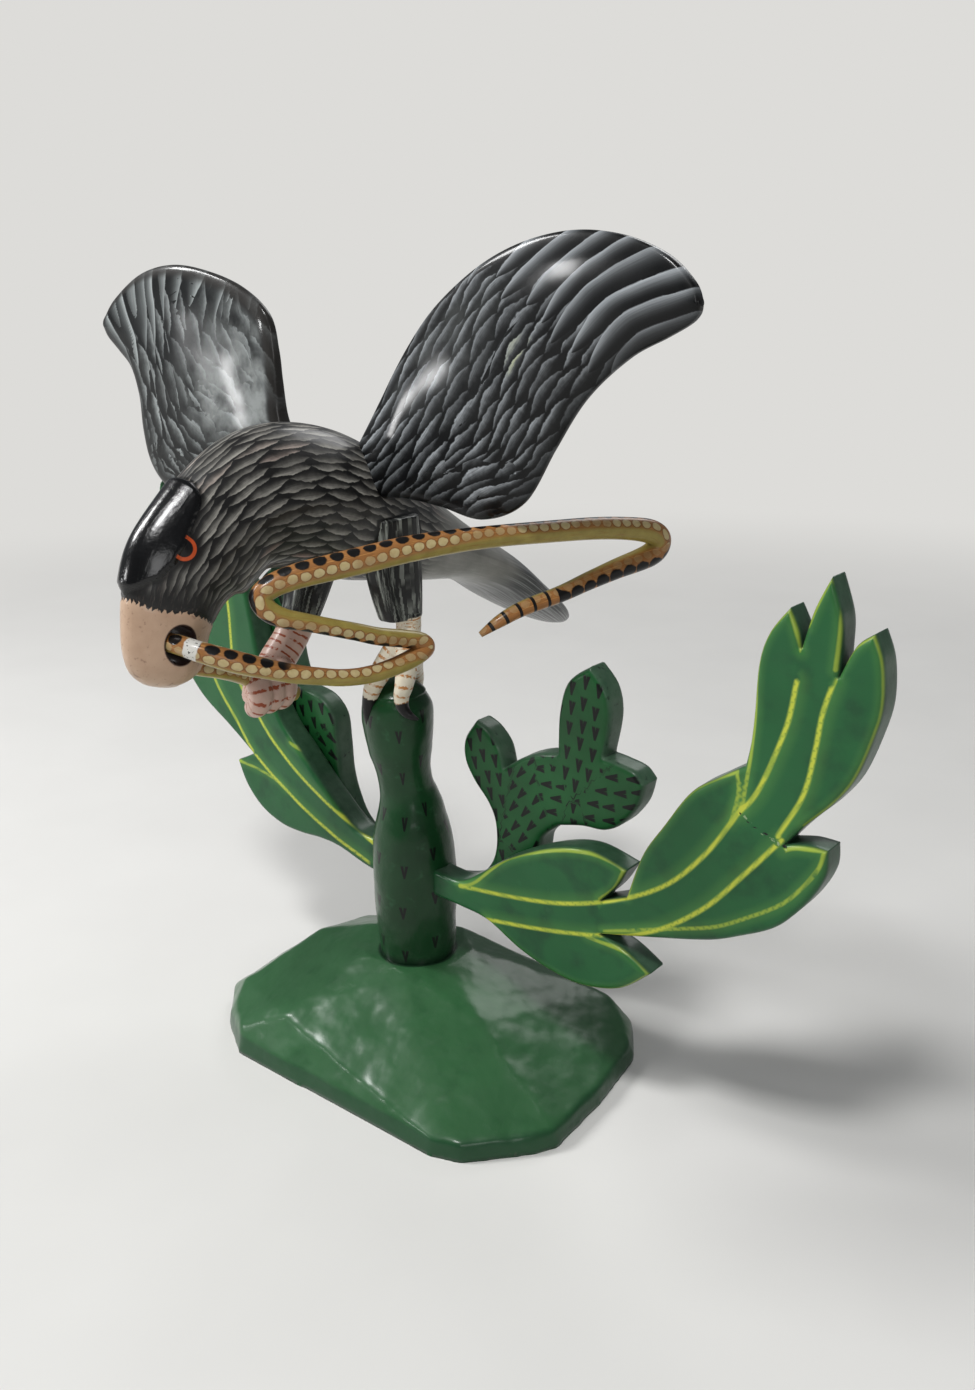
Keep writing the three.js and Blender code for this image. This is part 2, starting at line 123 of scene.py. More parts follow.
NOPAL_LEFT = [
    [[-14, 80], [-36, 90], [-52, 101], [-59, 113], [-63, 126.5], [-64, 143.5], [-66, 159.5],
     [-76, 169], [-92, 172]],
    [[-92, 172], [-97, 188], [-99, 208], [-103, 226], [-110, 238]],
    [[-110, 238], [-119, 231], [-128, 218], [-131, 203], [-127, 186], [-120, 170],
     [-106, 148], [-86, 124], [-62, 100], [-38, 78], [-14, 64]],
]

# Body rows from the beak's end to the tail's end: y, z, half height, half width, lean in degrees
BODY = [
    [-131, 224, 5, 6, 90], [-130.5, 227, 12, 11, 90], [-130.5, 233, 17.2, 14.4, 90],
    [-129.8, 243, 19.8, 16, 92], [-126, 254, 23, 17, 88], [-121, 264, 26, 18, 74],
    [-114.5, 271.5, 28.8, 19.5, 58], [-104.5, 280.5, 29, 20.5, 44], [-92, 290, 29.5, 22.5, 28],
    [-76, 295, 31.8, 26, 12], [-58, 294.5, 33.5, 28, 2], [-38, 289.5, 34, 28, -8],
    [-18, 281.5, 32.5, 27, -16], [2, 272, 28, 26.5, -26], [20, 263.5, 24, 25, -32],
    [38, 256, 19.5, 25, -36], [58, 248, 14.5, 27, -38], [78, 237.5, 12, 31, -37],
    [98, 223.5, 10, 31, -33], [118, 210.5, 8, 27, -28], [134, 201, 6, 18, -24],
    [145, 195, 3, 8, -22],
]

# Wing rows from root to tip: upper edge x, z, lower edge x, z, thickness, y of the middle plane
WING_NEAR = [
    [-12, 303, -4, 287, 25, -15], [-10, 312, 17, 291, 23, -14], [4, 335.5, 39, 288.5, 19, -12],
    [18, 358, 61, 284.5, 15, -10], [34, 376, 82, 293.5, 12, -8.5], [57, 391.5, 98, 317, 11, -8],
    [81, 401, 115, 339.5, 10.5, -8], [107, 405, 135, 355.5, 10, -8],
    [131, 402.5, 152, 363.5, 9, -8], [151, 395, 162, 368.5, 8, -8], [163, 385, 166, 372, 6.5, -8],
    [166.5, 378.5, 167, 375.5, 4, -8],
]
WING_FAR = [
    [-27, 298, -24, 284, 18, -20], [-38, 306, -42, 282, 18, -20], [-50, 313, -72, 280.5, 17, -20],
    [-57, 324, -103, 279.5, 16, -20], [-59, 342, -133, 279.5, 14.5, -20],
    [-60, 357, -154.5, 282.5, 13, -20], [-64.5, 373.5, -167.5, 294, 12, -20],
    [-82.5, 386, -172.5, 312, 11, -20], [-108, 394, -173, 330.5, 10.5, -20],
    [-135, 397.8, -177.5, 345, 10, -20], [-161.5, 394, -187.5, 354, 9, -20],
    [-185.5, 382.5, -196.5, 361, 7, -20], [-198.5, 372, -200.5, 366.5, 4, -20],
]

# Thigh rows: x, y, z, half width, half depth; toes and shank: x, y, z, radius
THIGH_NEAR = [[6, -13, 281, 8.5, 13], [6, -13, 268, 8.5, 14], [6, -13, 256, 8.5, 14.5],
              [6, -11.5, 243, 8, 13], [6, -9.5, 231, 7, 11]]
THIGH_FAR = [[-38, -20, 276, 8, 12], [-38, -22, 264, 8, 13], [-38, -25, 252, 8, 13],
             [-38, -30, 240, 7.5, 11.5], [-38, -35, 229, 7, 9.5]]
NEAR_FOOT = [
    [[8, -6.5, 233, 6.5], [7.5, -7, 222, 6], [2, -12.5, 212, 6.2], [-3.2, -19, 200, 5],
     [-7.2, -20, 190, 3.8], [-8.6, -20, 183, 3], [-9.4, -19.2, 177, 2], [-8.8, -19, 170, 0.8]],
    [[8, -6.5, 228, 6], [10, -9, 218, 6], [13.2, -14, 209, 5.6], [14.6, -18, 200.5, 4.6],
     [13.4, -19, 194, 3.8], [14.6, -19, 188.6, 3], [18, -18, 185.4, 2], [22.5, -17, 184, 0.8]],
    [[7, -6, 222, 6], [3, 0, 209, 6], [-2, 7, 200, 4.6], [-5, 12.5, 192, 3.2],
     [-7, 15, 184, 1.4]],
]
FAR_SHANK = [[-38, -35, 231, 9], [-38, -42, 221, 8.6], [-38, -51, 212, 8.8],
             [-37.5, -57, 206, 8.6]]
FAR_PALM = [[-36, -72, 204, 7.5], [-34, -67, 202, 8.8], [-34, -61, 202, 8.8], [-36, -56, 204, 7.5]]
FAR_TOES = [-71.5, -64, -56.5]


def far_toe(y):
    return [[-38, y + 5, 210, 7], [-30.5, y + 1, 208, 6.2], [-27, y, 202, 5.8],
            [-29, y, 196, 5.2], [-34.5, y + 1, 193, 4.4], [-39, y + 2, 194, 2.8]]


# Snake rows from the head's end to the tail's tip: x, y, z, radius
SNAKE = [
    [-33, -45, 194, 3.6], [-34, -50, 196.5, 4.8], [-35.5, -58, 201, 5], [-34.5, -70, 207.5, 4.4],
    [-30, -83.5, 214.5, 4.2], [-27, -96, 220, 4.1], [-29, -107, 224, 4], [-36, -115.5, 229, 4],
    [-41, -125, 236, 4], [-38, -132, 242.5, 4], [-29, -134, 244.8, 4], [-14, -134.2, 244.8, 4.1],
    [0, -134.2, 244.7, 4.2], [9, -131, 242.6, 4.4], [16, -124, 239, 4.7], [21, -118, 236.3, 4.7],
    [26.5, -110, 233.1, 4.3], [31.5, -101.3, 229.9, 4.1], [36, -92, 227.4, 3.8],
    [40, -82, 225, 3.7], [43.5, -71, 224, 3.8], [47, -59.5, 225, 4], [49.8, -48, 227.5, 4.2],
    [50.8, -41, 230.5, 4.2], [50, -43, 233.8, 4.1], [48, -52, 236.8, 4], [46, -65, 240.4, 3.9],
    [43, -76, 244.5, 3.8], [40, -87, 248.4, 3.7], [36, -97, 252, 3.8], [31.5, -105.5, 255, 4.2],
    [27.5, -110, 258.8, 4.6], [25.3, -111, 264, 4.8], [27, -106, 267.9, 5],
    [31, -97.5, 270.6, 5.3], [35.5, -88.2, 272.2, 5.5], [44, -70, 274.6, 5.8],
    [52.8, -51.5, 277.1, 5.7], [62, -31, 278.3, 5.2], [70.3, -10.8, 278.3, 4.9],
    [79, 11.2, 277.5, 5], [87.7, 34.6, 276.3, 5.2], [94.3, 53.3, 274.1, 5.4], [99, 66.5, 271, 5.8],
    [100.3, 72, 266, 5.8], [98, 68, 259.6, 5.6], [91, 49, 255, 4.8], [85, 35, 251, 4.3],
    [80, 20.2, 247.1, 3.9], [72, 2.9, 242.8, 3.6], [67, -7.7, 238.4, 3], [62, -16.2, 232.9, 1.4],
]

# Which way the snake's back faces at places along it: snake row number, x, y, z
SNAKE_BACK = [(0, -0.6, -0.4, 0.7), (3, 0.5, -0.3, 0.8), (8, 0.2, -0.5, 0.8),
              (12, 0.45, -0.5, 0.75), (16, 0.4, -0.4, 0.85), (18.5, -0.15, 0.15, 1),
              (21.5, -0.2, 0.3, 1), (22.6, 0.6, 0.7, 0.5), (23.5, 0.9, 0.5, -0.3),
              (24.6, 0.3, -0.2, -1), (29.5, 0.2, -0.25, -1), (30.8, -0.3, -0.9, -0.6),
              (32, -0.25, -0.95, 0.2), (33.4, 0.1, -0.75, 0.65), (36.5, 0.3, -0.4, 0.9),
              (39, -0.05, 0.1, 1), (42.5, -0.1, 0.2, 1), (43.6, 0.5, 0.8, 0.6),
              (44.6, 0.9, 0.6, -0.2), (46, 0.8, -0.3, -0.35), (51, 0.6, -0.65, -0.1)]
# The rows at which the snake leaves the beak and its tail begins
COLLAR_ROW = 12.7
TAIL_ROW = 44

# The brow cap's edge as place along the body, 0 to 1, and degrees from the back; its ends and
# how it fades in there; the beak's edge as degrees from the flank and place along the body
CAP = [(0.222, 0), (0.229, 9), (0.238, 27), (0.252, 46), (0.274, 53), (0.298, 53), (0.317, 50),
       (0.333, 46), (0.345, 43), (0.352, 39), (0.357, 30), (0.36, 0)]
CAP_ENDS = (0.222, 0.358)
CAP_FADE = [(0.218, 0), (0.238, 1), (0.358, 1), (0.362, 0)]
BEAK_LINE = [(-90, 0.15), (-37, 0.169), (-8, 0.193), (10, 0.205), (24, 0.207), (41, 0.21),
             (54, 0.214), (68, 0.219), (90, 0.221)]
# The eye's middle, from the body's middle plane, and its size
EYE = np.array([14.4, -126.6, 283.8])
EYE_R = 4.6
# How far the cap and the eyes stand out, over what width the cap's edge rises and how
# rounded it is; the depth, half width and first place along the body of the beak's groove
CAP_PROUD = 2.3
CAP_EDGE = 1.1
CAP_ROUND = 0.7
EYE_PROUD = 0.9
GROOVE_DEEP = 0.5
GROOVE_R = 1.2
GROOVE_FROM = 0.1
# Millimetres for each unit of place along the body, at the cap's ends and at the beak
HEAD_LENGTH = 380
BEAK_LENGTH = 230

# Brush directions: x, z and the way a stroke runs there, in degrees from +X
NEAR_FLOW = [
    [-6, 311, 39], [16, 340, 60], [50, 376, 52], [80, 394, 33], [99, 391.5, 33], [107, 378, 44],
    [128, 392, 26], [115, 370, 42], [139, 386, 19], [124, 365, 44], [153, 381, 15],
    [129, 355, 47], [155, 371, 17], [37, 316, 52], [51, 304, 33], [60, 300, 27], [75, 297, 20],
    [70, 325, 55], [85, 332, 54], [76, 338, 59], [31, 329, 57], [106, 323, 47], [60, 350, 58],
]
FAR_FLOW = [
    [-160, 372, 92], [-137, 376, 103], [-98, 380, 72], [-111, 387, 85], [-128, 384, 80],
    [-142, 375, 97], [-170, 367, 118], [-183, 360, 135], [-129, 364, 120], [-106, 341, 148],
    [-134, 314, 129], [-147, 285, 165], [-156, 302, 96], [-105, 317, 160], [-118, 311, 152],
    [-136, 300, 157], [-137, 296, 135], [-97, 359, 127], [-76, 364, 130], [-148, 331, 107],
    [-154, 337, 101], [-66, 366, 121],
]
# Each wing's brush lines start from a straight line: the middle that it is drawn at, x and z,
# and the way the strokes cross it, in degrees
NEAR_START = ((66, 335), 56)
FAR_START = ((-118, 335), 128)
# Where the long flight feathers begin
NEAR_FLIGHT = [[20, 372], [60, 391], [73, 382], [83, 378], [93, 369.5], [101, 364], [110, 354],
               [118, 348], [124, 342], [132, 326]]
FAR_FLIGHT = [[-190, 330], [-172, 346], [-161, 351], [-151, 358], [-140, 367], [-128, 373.5],
              [-114, 376], [-103, 370], [-92, 379], [-72, 379], [-50, 372]]
# The few strokes in creamy green among the grey ones, x and z
CREAM_STROKES = [(75, 369), (87, 353)]

# The painted leaf lines on the fronts of the sprays, x and z
RIGHT_VEINS = [
    [[38, 97], [75, 102], [103, 108], [132, 119], [157, 134], [175, 153], [187, 171], [192, 180]],
    [[55, 84], [94, 91], [129, 100], [153, 111], [176, 129], [194, 150], [210, 170]],
    [[213, 237], [209, 216], [199, 189], [191, 177]],
    [[228, 240], [224, 226], [222, 211], [218, 191], [208, 171]],
]
RIGHT_EDGES = [
    [[38, 97], [48, 102], [68, 120], [94, 132], [115, 137], [129, 136], [135, 134]],
    [[135, 134], [130, 124], [122, 116]],
    [[137, 122], [144, 144], [154, 160], [167, 179], [180, 189], [189, 194]],
    [[189, 194], [190, 185], [187, 171]],
    [[192, 179], [195, 205], [196, 221], [196, 241], [200, 254], [208, 265]],
    [[208, 265], [212, 255], [214, 249]],
    [[216, 259], [219, 267], [224, 279]],
    [[224, 279], [228, 272], [229, 261], [228, 244]],
    [[231, 247], [235, 254], [242, 260]],
    [[242, 260], [246, 249], [247, 233], [244, 219], [238, 202], [230, 190], [219, 178]],
    [[210, 165], [216, 168], [228, 170]],
    [[228, 170], [226, 162], [219, 151], [210, 141], [193, 129], [179, 121], [152, 111],
     [125, 101]],
    [[115, 95], [136, 94], [149, 87]],
    [[149, 87], [133, 74], [112, 68], [94, 69], [75, 74], [55, 84]],
]
RIGHT_CRACK = [[[191, 177], [196, 173], [205, 170], [209, 168], [212, 167]]]
LEFT_VEINS = [
    [[-131, 236], [-128, 213], [-128, 185], [-121, 169], [-109, 156], [-98, 144], [-81, 131],
     [-64, 121], [-45, 112], [-27, 105], [-9, 99]],
    [[-152, 184], [-142, 166], [-129, 150], [-118, 136], [-104, 125], [-90, 117], [-73, 108],
     [-54, 100], [-39, 95], [-26, 91]],
]
LEFT_EDGES = [
    [[-131, 125], [-115, 124], [-100, 121], [-90, 117]],
    [[-84, 146], [-68, 139], [-54, 127], [-43, 121], [-33, 115], [-22, 108]],
]
# Each pad's axis, from its root to its end: x, z
PADS_RIGHT = [[(52, 112), (38, 176)], [(34, 100), (76, 150)], [(96, 150), (103, 216)],
              [(76, 150), (131, 158)]]
PADS_LEFT = [[(-30, 84), (-92, 140)], [(-92, 140), (-114, 234)]]

# How finely the smooth forms are divided: steps along them, and points round them
CURVE_PARTS = 12
BODY_RINGS = 400
BODY_SIDES = 168
WING_STEPS = 190
WING_FACES = 44
THIGH_STEPS = 60
THIGH_SIDES = 64
LIMB_STEPS = 70
LIMB_SIDES = 32
BORE_STEPS = 40
BORE_SIDES = 48
TRUNK_STEPS = 200
TRUNK_SIDES = 110
SNAKE_STEPS = 14
SNAKE_SIDES = 40
# Boards: spacing of the points on a face, its rows as a share of that, rings of points just
# inside the rim, the least gaps kept between rings and grid, and steps through the thickness
BOARD_STEP = 1.7
GRID_ROW = 0.866
EDGE_DEPTHS = [0.25, 0.7, 1.3, 2.0, 2.9]
RING_GAP = 0.93
GRID_GAP = 0.45
SIDE_LEVELS = 6
# Voxels that grow the legs and the mound into one skin, and the rounds of smoothing after
LEG_VOXEL = 0.75
LEG_SMOOTHING = 3
MOUND_VOXEL = 1.3
MOUND_SMOOTHING = 14

# Carved edges: powers for a wing's edge and a thigh's section, less being boxier, the boards'
# edge radii, and how far the nopals swell and over what distance
WING_CROWN = 0.6
THIGH_BOXY = 0.55
SPRAY_EDGE = 2.4
NOPAL_EDGE = 3.0
NOPAL_CROWN = 0.8
CROWN_REACH = 6
# Unevenness of the carving: size across and depth of the waves on boards and wings, and size
# across, seed and depth of each wave on the mound and the trunk
FACE_RIPPLE = (14, 0.22)
WING_RIPPLE = (26, 0.25)
MOUND_RIPPLES = [(17, 3, 0.5), (6, 4, 0.12)]
TRUNK_RIPPLES = [(15, 5, 0.35), (5, 6, 0.1)]
# How far mound and trunk are sunk, to keep the waves inside their solids, the share of the
# waves at heights near the underside, and the height above which the trunk has none
MOUND_SINK = 0.5
MOUND_FADE = [(2, 0), (8, 1)]
TRUNK_SINK = 0.4
TRUNK_DOME = 190
# The mound's bevel, the point that it swells from, and the height below which it is flat
MOUND_BEVEL = (0.99, 0.985)
MOUND_CORE = [0, 0, -40]
UNDERSIDE = 0.9
TRUNK_AXIS = [-2, -1.6, 0]
TRUNK_FOOT_R = 20.2
BORE_ENDS = (-45, 15)
# Fixed noise: how far one seed moves it, and its gain
SEED_STEPS = (17.3, 5.1, 9.7)
NOISE_GAIN = 1.6
# A direction that no limb runs along, and distances that stand for none found
UPWARD = [0.31, 0.2, 0.93]
FAR_OFF = 1e9
NO_LINE = 99.0

# Brush strokes: length on the wings, and length, row width and unrolled girth on the body
WING_STROKE = 26
BODY_STROKE = 19
BODY_PITCH = 1.0
BODY_GIRTH = 52
# A stroke's width as a share of two rows, and the power that makes its ends less pointed
STROKE_WIDTH = 0.7
STROKE_BLUNT = 0.75
# The length over which a flight feather widens, and the radius of a creamy patch
FLIGHT_POINT = 16
CREAM_R = 6
# Following the brush lines over a wing: step, steps, least lean, and blur in square mm
FLOW_STEP = 1.5
FLOW_STEPS = 140
FLOW_LEAN = 0.6
FIELD_BLUR = 30
# Respacing them: places tried, distance looked at round each, and limits of the crowding
ROW_SAMPLES = 40
ROW_REACH = 4
CROWDING = (0.3, 4)
# Where along the body the face fades out and the rump and the tail fade in, and the eye ring
FACE = (90, 60)
RUMP = (186, 212)
TAIL = (246, 268)
EYE_RING = 4.5
# The feet's stripes, where a talon begins, the first limb's extra length with the shank, and
# how far above a thigh's end its paint stops
STRIPE_PITCH = 4.2
TALON_FROM = 40
SHANK_EXTRA = 8
THIGH_EDGE = 0.8
# How far the veins' pale glow reaches
GLOW_WIDE = 6.5
# Spines: spacing along and across, and stroke thickness; how far one lies behind its place,
# and its length; the shift of the pads' rows, and the trunk's radius for its angles
PAD_SPINES = (10.5, 7.2, 2.0)
TRUNK_SPINES = (24.0, 14.0, 1.5)
SPINE_BACK = 3.6
SPINE_LENGTH = 7.4
PAD_SHIFT = 3
TRUNK_R = 19
# The snake's spots and ovals, the bend with no ovals and the banded tip, in mm along it
SPOT_PITCH = 5.6
OVAL_PITCH = 7.4
BARE_FROM = (188, 196)
BARE_TO = (272, 264)
TIP = (610, 616)
# Refraction of the paint and of the varnish over it
PAINT_IOR = 1.45
VARNISH_IOR = 1.35

# The studio: floor radius in metres, where the floor fades into the backdrop in mm
FLOOR_R = 7
FLOOR_FADE = (700, 1700)
BACKDROP = "#dddcd9"
SKY = (0.86, 0.9, 0.95, 1)
SKY_STRENGTH = 0.16
# Lamps: place in metres, power in watts, width and height in metres
LAMPS = {
    "key_light": [(-1.35, -0.75, 1.45), 28, (0.35, 0.6)],
    "fill_light": [(1.5, -1.3, 0.9), 6, (0.7, 0.7)],
    "top_light": [(0.25, -0.85, 1.75), 18, (0.35, 0.25)],
    "glint_near": [(-0.72, -1.14, 0.56), 1.8, (0.1, 0.1)],
    "glint_far": [(-1.16, -0.92, 0.33), 1.1, (0.1, 0.1)],
    "back_light": [(-0.3, 1.5, 1.5), 8, (0.8, 0.8)],
}
# The point that they face
LIT_POINT = Vector((0, 0, 0.2))
# The camera's place in metres and its axes; the frame's height, the focal length and the drop
# of the picture's middle in frame pixels; the film's height in mm
CAMERA = Vector((0.4162, -0.4336, 0.3835))
RIGHT = Vector((0.7693, 0.6386, -0.0183))
UP = Vector((-0.1635, 0.2245, 0.9607))
FORWARD = Vector((-0.6176, 0.736, -0.2772))
FRAME_HEIGHT = 1390
FOCAL = 1255
DROP = 45
SENSOR = 36


# Numbers along smooth runs, outlines and distances

def through(rows, x):
    """A smooth curve at places x, counted in rows, through rows with a spare one at each end."""
    i = np.minimum(x.astype(int), len(rows) - 4)
    f = (x - i)[:, None]
    a, b, c, d = (rows[i + k] for k in range(4))
    curve = 2 * b + (c - a) * f + (2 * a - 5 * b + 4 * c - d) * f ** 2
    return 0.5 * (curve + (3 * b - a - 3 * c + d) * f ** 3)


def run(rows, t):
    """The rows' numbers at places t, 0 to 1, of a smooth run through them."""
    rows = np.array(rows, float)
    spare = np.vstack([2 * rows[0] - rows[1], rows, 2 * rows[-1] - rows[-2]])
    return through(spare, np.clip(t, 0, 1) * (len(rows) - 1))


def table(knots, x):
    """Straight interpolation in a short list of (x, value) pairs."""
    xs, ys = zip(*knots)
    return np.interp(x, xs, ys)


def unit(v):
    return v / np.maximum(np.linalg.norm(v, axis=-1, keepdims=True), 1e-12)


def whole_turn(sides):
    return np.linspace(0, 2 * math.pi, sides, endpoint=False)


def distance_along(points):
    """The length of a polyline up to each of its points."""
    steps = np.linalg.norm(np.diff(points, axis=0), axis=1)
    return np.concatenate([[0], np.cumsum(steps)])


def dense(points, step):
    """A polyline with points about one step apart."""
    points = np.array(points, float)
    out = []
    for a, b in zip(points[:-1], points[1:]):
        n = max(1, int(round(np.linalg.norm(b - a) / step)))
        out += [a + (b - a) * k / n for k in range(n)]
    return np.array(out + [points[-1]])


def outline_of(runs, step):
    """The closed outline of a board; every run is a smooth curve with its ends held."""
    out = []
    for points in runs:
        p = np.array(points, float)
        if len(p) > 2:
            spare = np.vstack([p[0], p, p[-1]])
            p = through(spare, np.linspace(0, len(p) - 1, CURVE_PARTS * (len(p) - 1) + 1))
        out.append(dense(p, step)[:-1])
    out.append(np.array([runs[-1][-1]], float))
    loop = np.vstack(out)
    return dense(np.vstack([loop, loop[:1]]), step)[:-1]


def to_lines(points, lines, closed=False):
    """For 2D points: distance to a polyline, and which side of it they are on."""
    lines = np.array(lines, float)
    ends = np.vstack([lines[1:], lines[:1]]) if closed else lines[1:]
    starts = lines if closed else lines[:-1]
    best = np.full(len(points), FAR_OFF)
    side = np.ones(len(points))
    for a, b in zip(starts, ends):
        ab = b - a
        ap = points - a
        f = np.clip(ap @ ab / max(ab @ ab, 1e-9), 0, 1)
        away = np.linalg.norm(ap - f[:, None] * ab, axis=1)
        near = away < best
        turn = ab[0] * ap[:, 1] - ab[1] * ap[:, 0]
        side = np.where(near, np.sign(turn), side)
        best = np.where(near, away, best)
    return best, side


def inside(points, loop):
    """Whether 2D points lie inside a closed loop."""
    hit = np.zeros(len(points), bool)
    for a, b in zip(loop, np.roll(loop, -1, axis=0)):
        spans = (a[1] > points[:, 1]) != (b[1] > points[:, 1])
        with np.errstate(divide="ignore", invalid="ignore"):
            cross = (b[0] - a[0]) * (points[:, 1] - a[1]) / (b[1] - a[1]) + a[0]
        hit ^= spans & (points[:, 0] < cross)
    return hit


def wander(points, size, seed):
    """Slow, fixed unevenness of hand carving at each point, about -1 to 1."""
    shift = Vector([seed * step for step in SEED_STEPS])
    return np.array([noise.noise(Vector(p) / size + shift) for p in points]) * NOISE_GAIN


def ripples(points, waves):
    return sum(wander(points, size, seed) * depth for size, seed, depth in waves)


# Meshes

def put(name, data):
    """A new object in the scene."""
    item = bpy.data.objects.new(name, data)
    bpy.context.scene.collection.objects.link(item)
    return item


def make(name, verts, faces, **values):
    """A closed, smooth-shaded piece, with a number for every point under each name."""
    mesh = bpy.data.meshes.new(name)
    mesh.from_pydata((np.asarray(verts) * MM).tolist(), [], [list(map(int, f)) for f in faces])
    bm = bmesh.new()
    bm.from_mesh(mesh)
    bmesh.ops.recalc_face_normals(bm, faces=bm.faces)
    bm.to_mesh(mesh)
    bm.free()
    mesh.shade_smooth()
    piece = put(name, mesh)
    note(piece, **values)
    return piece


def note(piece, **values):
    """Stores a number for every point of the piece under each name."""
    for key, numbers in values.items():
        layer = piece.data.attributes.new(key, "FLOAT", "POINT")
        layer.data.foreach_set("value", np.asarray(numbers, np.float32))


def points_of(piece):
    flat = np.zeros(len(piece.data.vertices) * 3)
    piece.data.vertices.foreach_get("co", flat)
    return flat.reshape(-1, 3) / MM


def band(first, second):
    """Quads between two closed rings of point numbers."""
    return np.stack([first, second, np.roll(second, -1), np.roll(first, -1)], -1).tolist()


def lofted(rings):
    """Points and faces of a closed body through rings of equal count."""
    count, sides = rings.shape[:2]
    k = np.arange(count - 1)[:, None] * sides
    i = np.arange(sides)[None, :]
    j = (i + 1) % sides
    quads = np.stack([k + i, k + j, k + sides + j, k + sides + i], -1).reshape(-1, 4).tolist()
    verts = np.vstack([rings.reshape(-1, 3), rings[0].mean(0), rings[-1].mean(0)])
    last = (count - 1) * sides
    for a in range(sides):
        b = (a + 1) % sides
        quads.append([b, a, count * sides])
        quads.append([last + a, last + b, count * sides + 1])
    return verts, quads


def with_ends(values):
    """A value per ring point, with the two end points added."""
    return np.concatenate([values.reshape(-1), [values[0].mean(), values[-1].mean()]])


def settle(piece, **changes):
    """Applies a stack of modifiers given as kind={settings} and keeps the plain mesh."""
    for kind, options in changes.items():
        modifier = piece.modifiers.new(kind, kind)
        for key, value in options.items():
            setattr(modifier, key, value)
    graph = bpy.context.evaluated_depsgraph_get()
    made = bpy.data.meshes.new_from_object(piece.evaluated_get(graph))
    piece.modifiers.clear()
    old = piece.data
    piece.data = made
    bpy.data.meshes.remove(old)
    piece.data.shade_smooth()


def nearest(points, samples):
    """Index of the nearest sample for each point."""
    tree = kdtree.KDTree(len(samples))
    for i, sample in enumerate(samples.tolist()):
        tree.insert(sample, i)
    tree.balance()
    return np.array([tree.find(p)[1] for p in points.tolist()])


def tube(rows, steps, sides, back=None):
    """Rings of a limb, their length along and angle round, counted from a steady side of it
    or from the directions in back."""
    t = np.linspace(0, 1, steps + 1)
    rows_at = run(rows, t)
    centre = rows_at[:, :3]
    along = unit(np.gradient(centre, axis=0))
    if back is None:
        side = np.zeros_like(centre)
        first = unit(np.cross(along[0], UPWARD))
        for k in range(len(t)):
            first = unit(first - along[k] * (first @ along[k]))
            side[k] = first
    else:
        aim = run(back, t)
        side = unit(aim - along * (aim * along).sum(1, keepdims=True))
    up = np.cross(along, side)
    turn = whole_turn(sides)
    spread = side[:, None] * np.cos(turn)[None, :, None] + up[:, None] * np.sin(turn)[None, :, None]
    rings = centre[:, None] + rows_at[:, 3, None, None] * spread
    length = np.repeat(distance_along(centre)[:, None], sides, 1)
    return rings, length, np.repeat(turn[None], steps + 1, 0)


# The map for the feather strokes: brush lines over a wing's face

def direction(points, field):
    """Unit brush direction at 2D points, blended from the places in the field."""
    field = np.array(field, float)
    gap = ((points[:, None] - field[None, :, :2]) ** 2).sum(-1) + FIELD_BLUR
    weight = gap ** -2
    angle = np.radians((weight * field[:, 2]).sum(1) / weight.sum(1))
    return np.stack([np.cos(angle), np.sin(angle)], -1)


def flow(points, field, middle, angle):
    """Length along the brush lines and place across them, from a straight line through middle."""
    ahead = np.array([math.cos(math.radians(angle)), math.sin(math.radians(angle))])
    across = np.array([ahead[1], -ahead[0]])
    at = points.copy()
    side = np.sign((at - middle) @ ahead)
    gone = np.zeros(len(at))
    for _ in range(FLOW_STEPS):
        left = (at - middle) @ ahead * side
        move = np.clip(left / FLOW_LEAN, 0, FLOW_STEP)
        at = at - (side * move)[:, None] * direction(at, field)
        gone += side * move
    return gone, (at - middle) @ across


def even_rows(points, field, middle, angle):
    """As flow, with the brush rows respaced to be about 1 mm apart for each step of 1,
    and how far they are crowded at each point."""
    gone, across = flow(points, field, middle, angle)
    aside = direction(points, field)[:, ::-1] * [1, -1]
    slope = np.abs(flow(points + aside, field, middle, angle)[1] - across)
    steps = np.linspace(across.min(), across.max(), ROW_SAMPLES)
    crowded = [np.median(slope[np.abs(across - step) < ROW_REACH]) for step in steps]
    crowded = np.clip(crowded, *CROWDING)
    gaps = np.diff(steps) / crowded[1:]
    even = np.interp(across, steps, np.concatenate([[0], np.cumsum(gaps)]))
    return gone, even, slope / np.interp(across, steps, crowded)


# The wings, the body and the legs

def wing(name, rows, field, flight, middle, angle, outward):
    """A carved wing board; outward is 1 or -1 and says which way its tip points."""
    t = np.linspace(0, 1, WING_STEPS + 1)
    x1, z1, x2, z2, thick, plane = run(rows, t).T[:, :, None]
    turn = whole_turn(2 * WING_FACES)[None]
    across = 0.5 - 0.5 * np.cos(turn)
    crown = np.sign(np.sin(turn)) * np.abs(np.sin(turn)) ** WING_CROWN
    y = plane - thick / 2 * crown
    verts, quads = lofted(np.stack([x1 + (x2 - x1) * across, y, z1 + (z2 - z1) * across], -1))
    flat = verts[:, [0, 2]]
    u, v, crowd = even_rows(flat, field, middle, angle)
    away, side = to_lines(flat, flight)
    size, depth = WING_RIPPLE
    verts[:, 1] += wander(verts, size, outward) * depth
    wide = np.hypot(x2 - x1, z2 - z1)
    span = np.repeat(t[:, None], 2 * WING_FACES, 1)
    spots = [np.hypot(*(flat - spot).T) for spot in CREAM_STROKES]
    cream = np.clip(2 - np.min(spots, axis=0) / CREAM_R, 0, 1)
    return make(name, verts, quads, flow_u=u, flow_v=v * outward, flight=away * side,
                trail=with_ends(wide * (1 - across)), lead=with_ends(wide * across),
                span=with_ends(span), cream=cream, crowd=crowd)


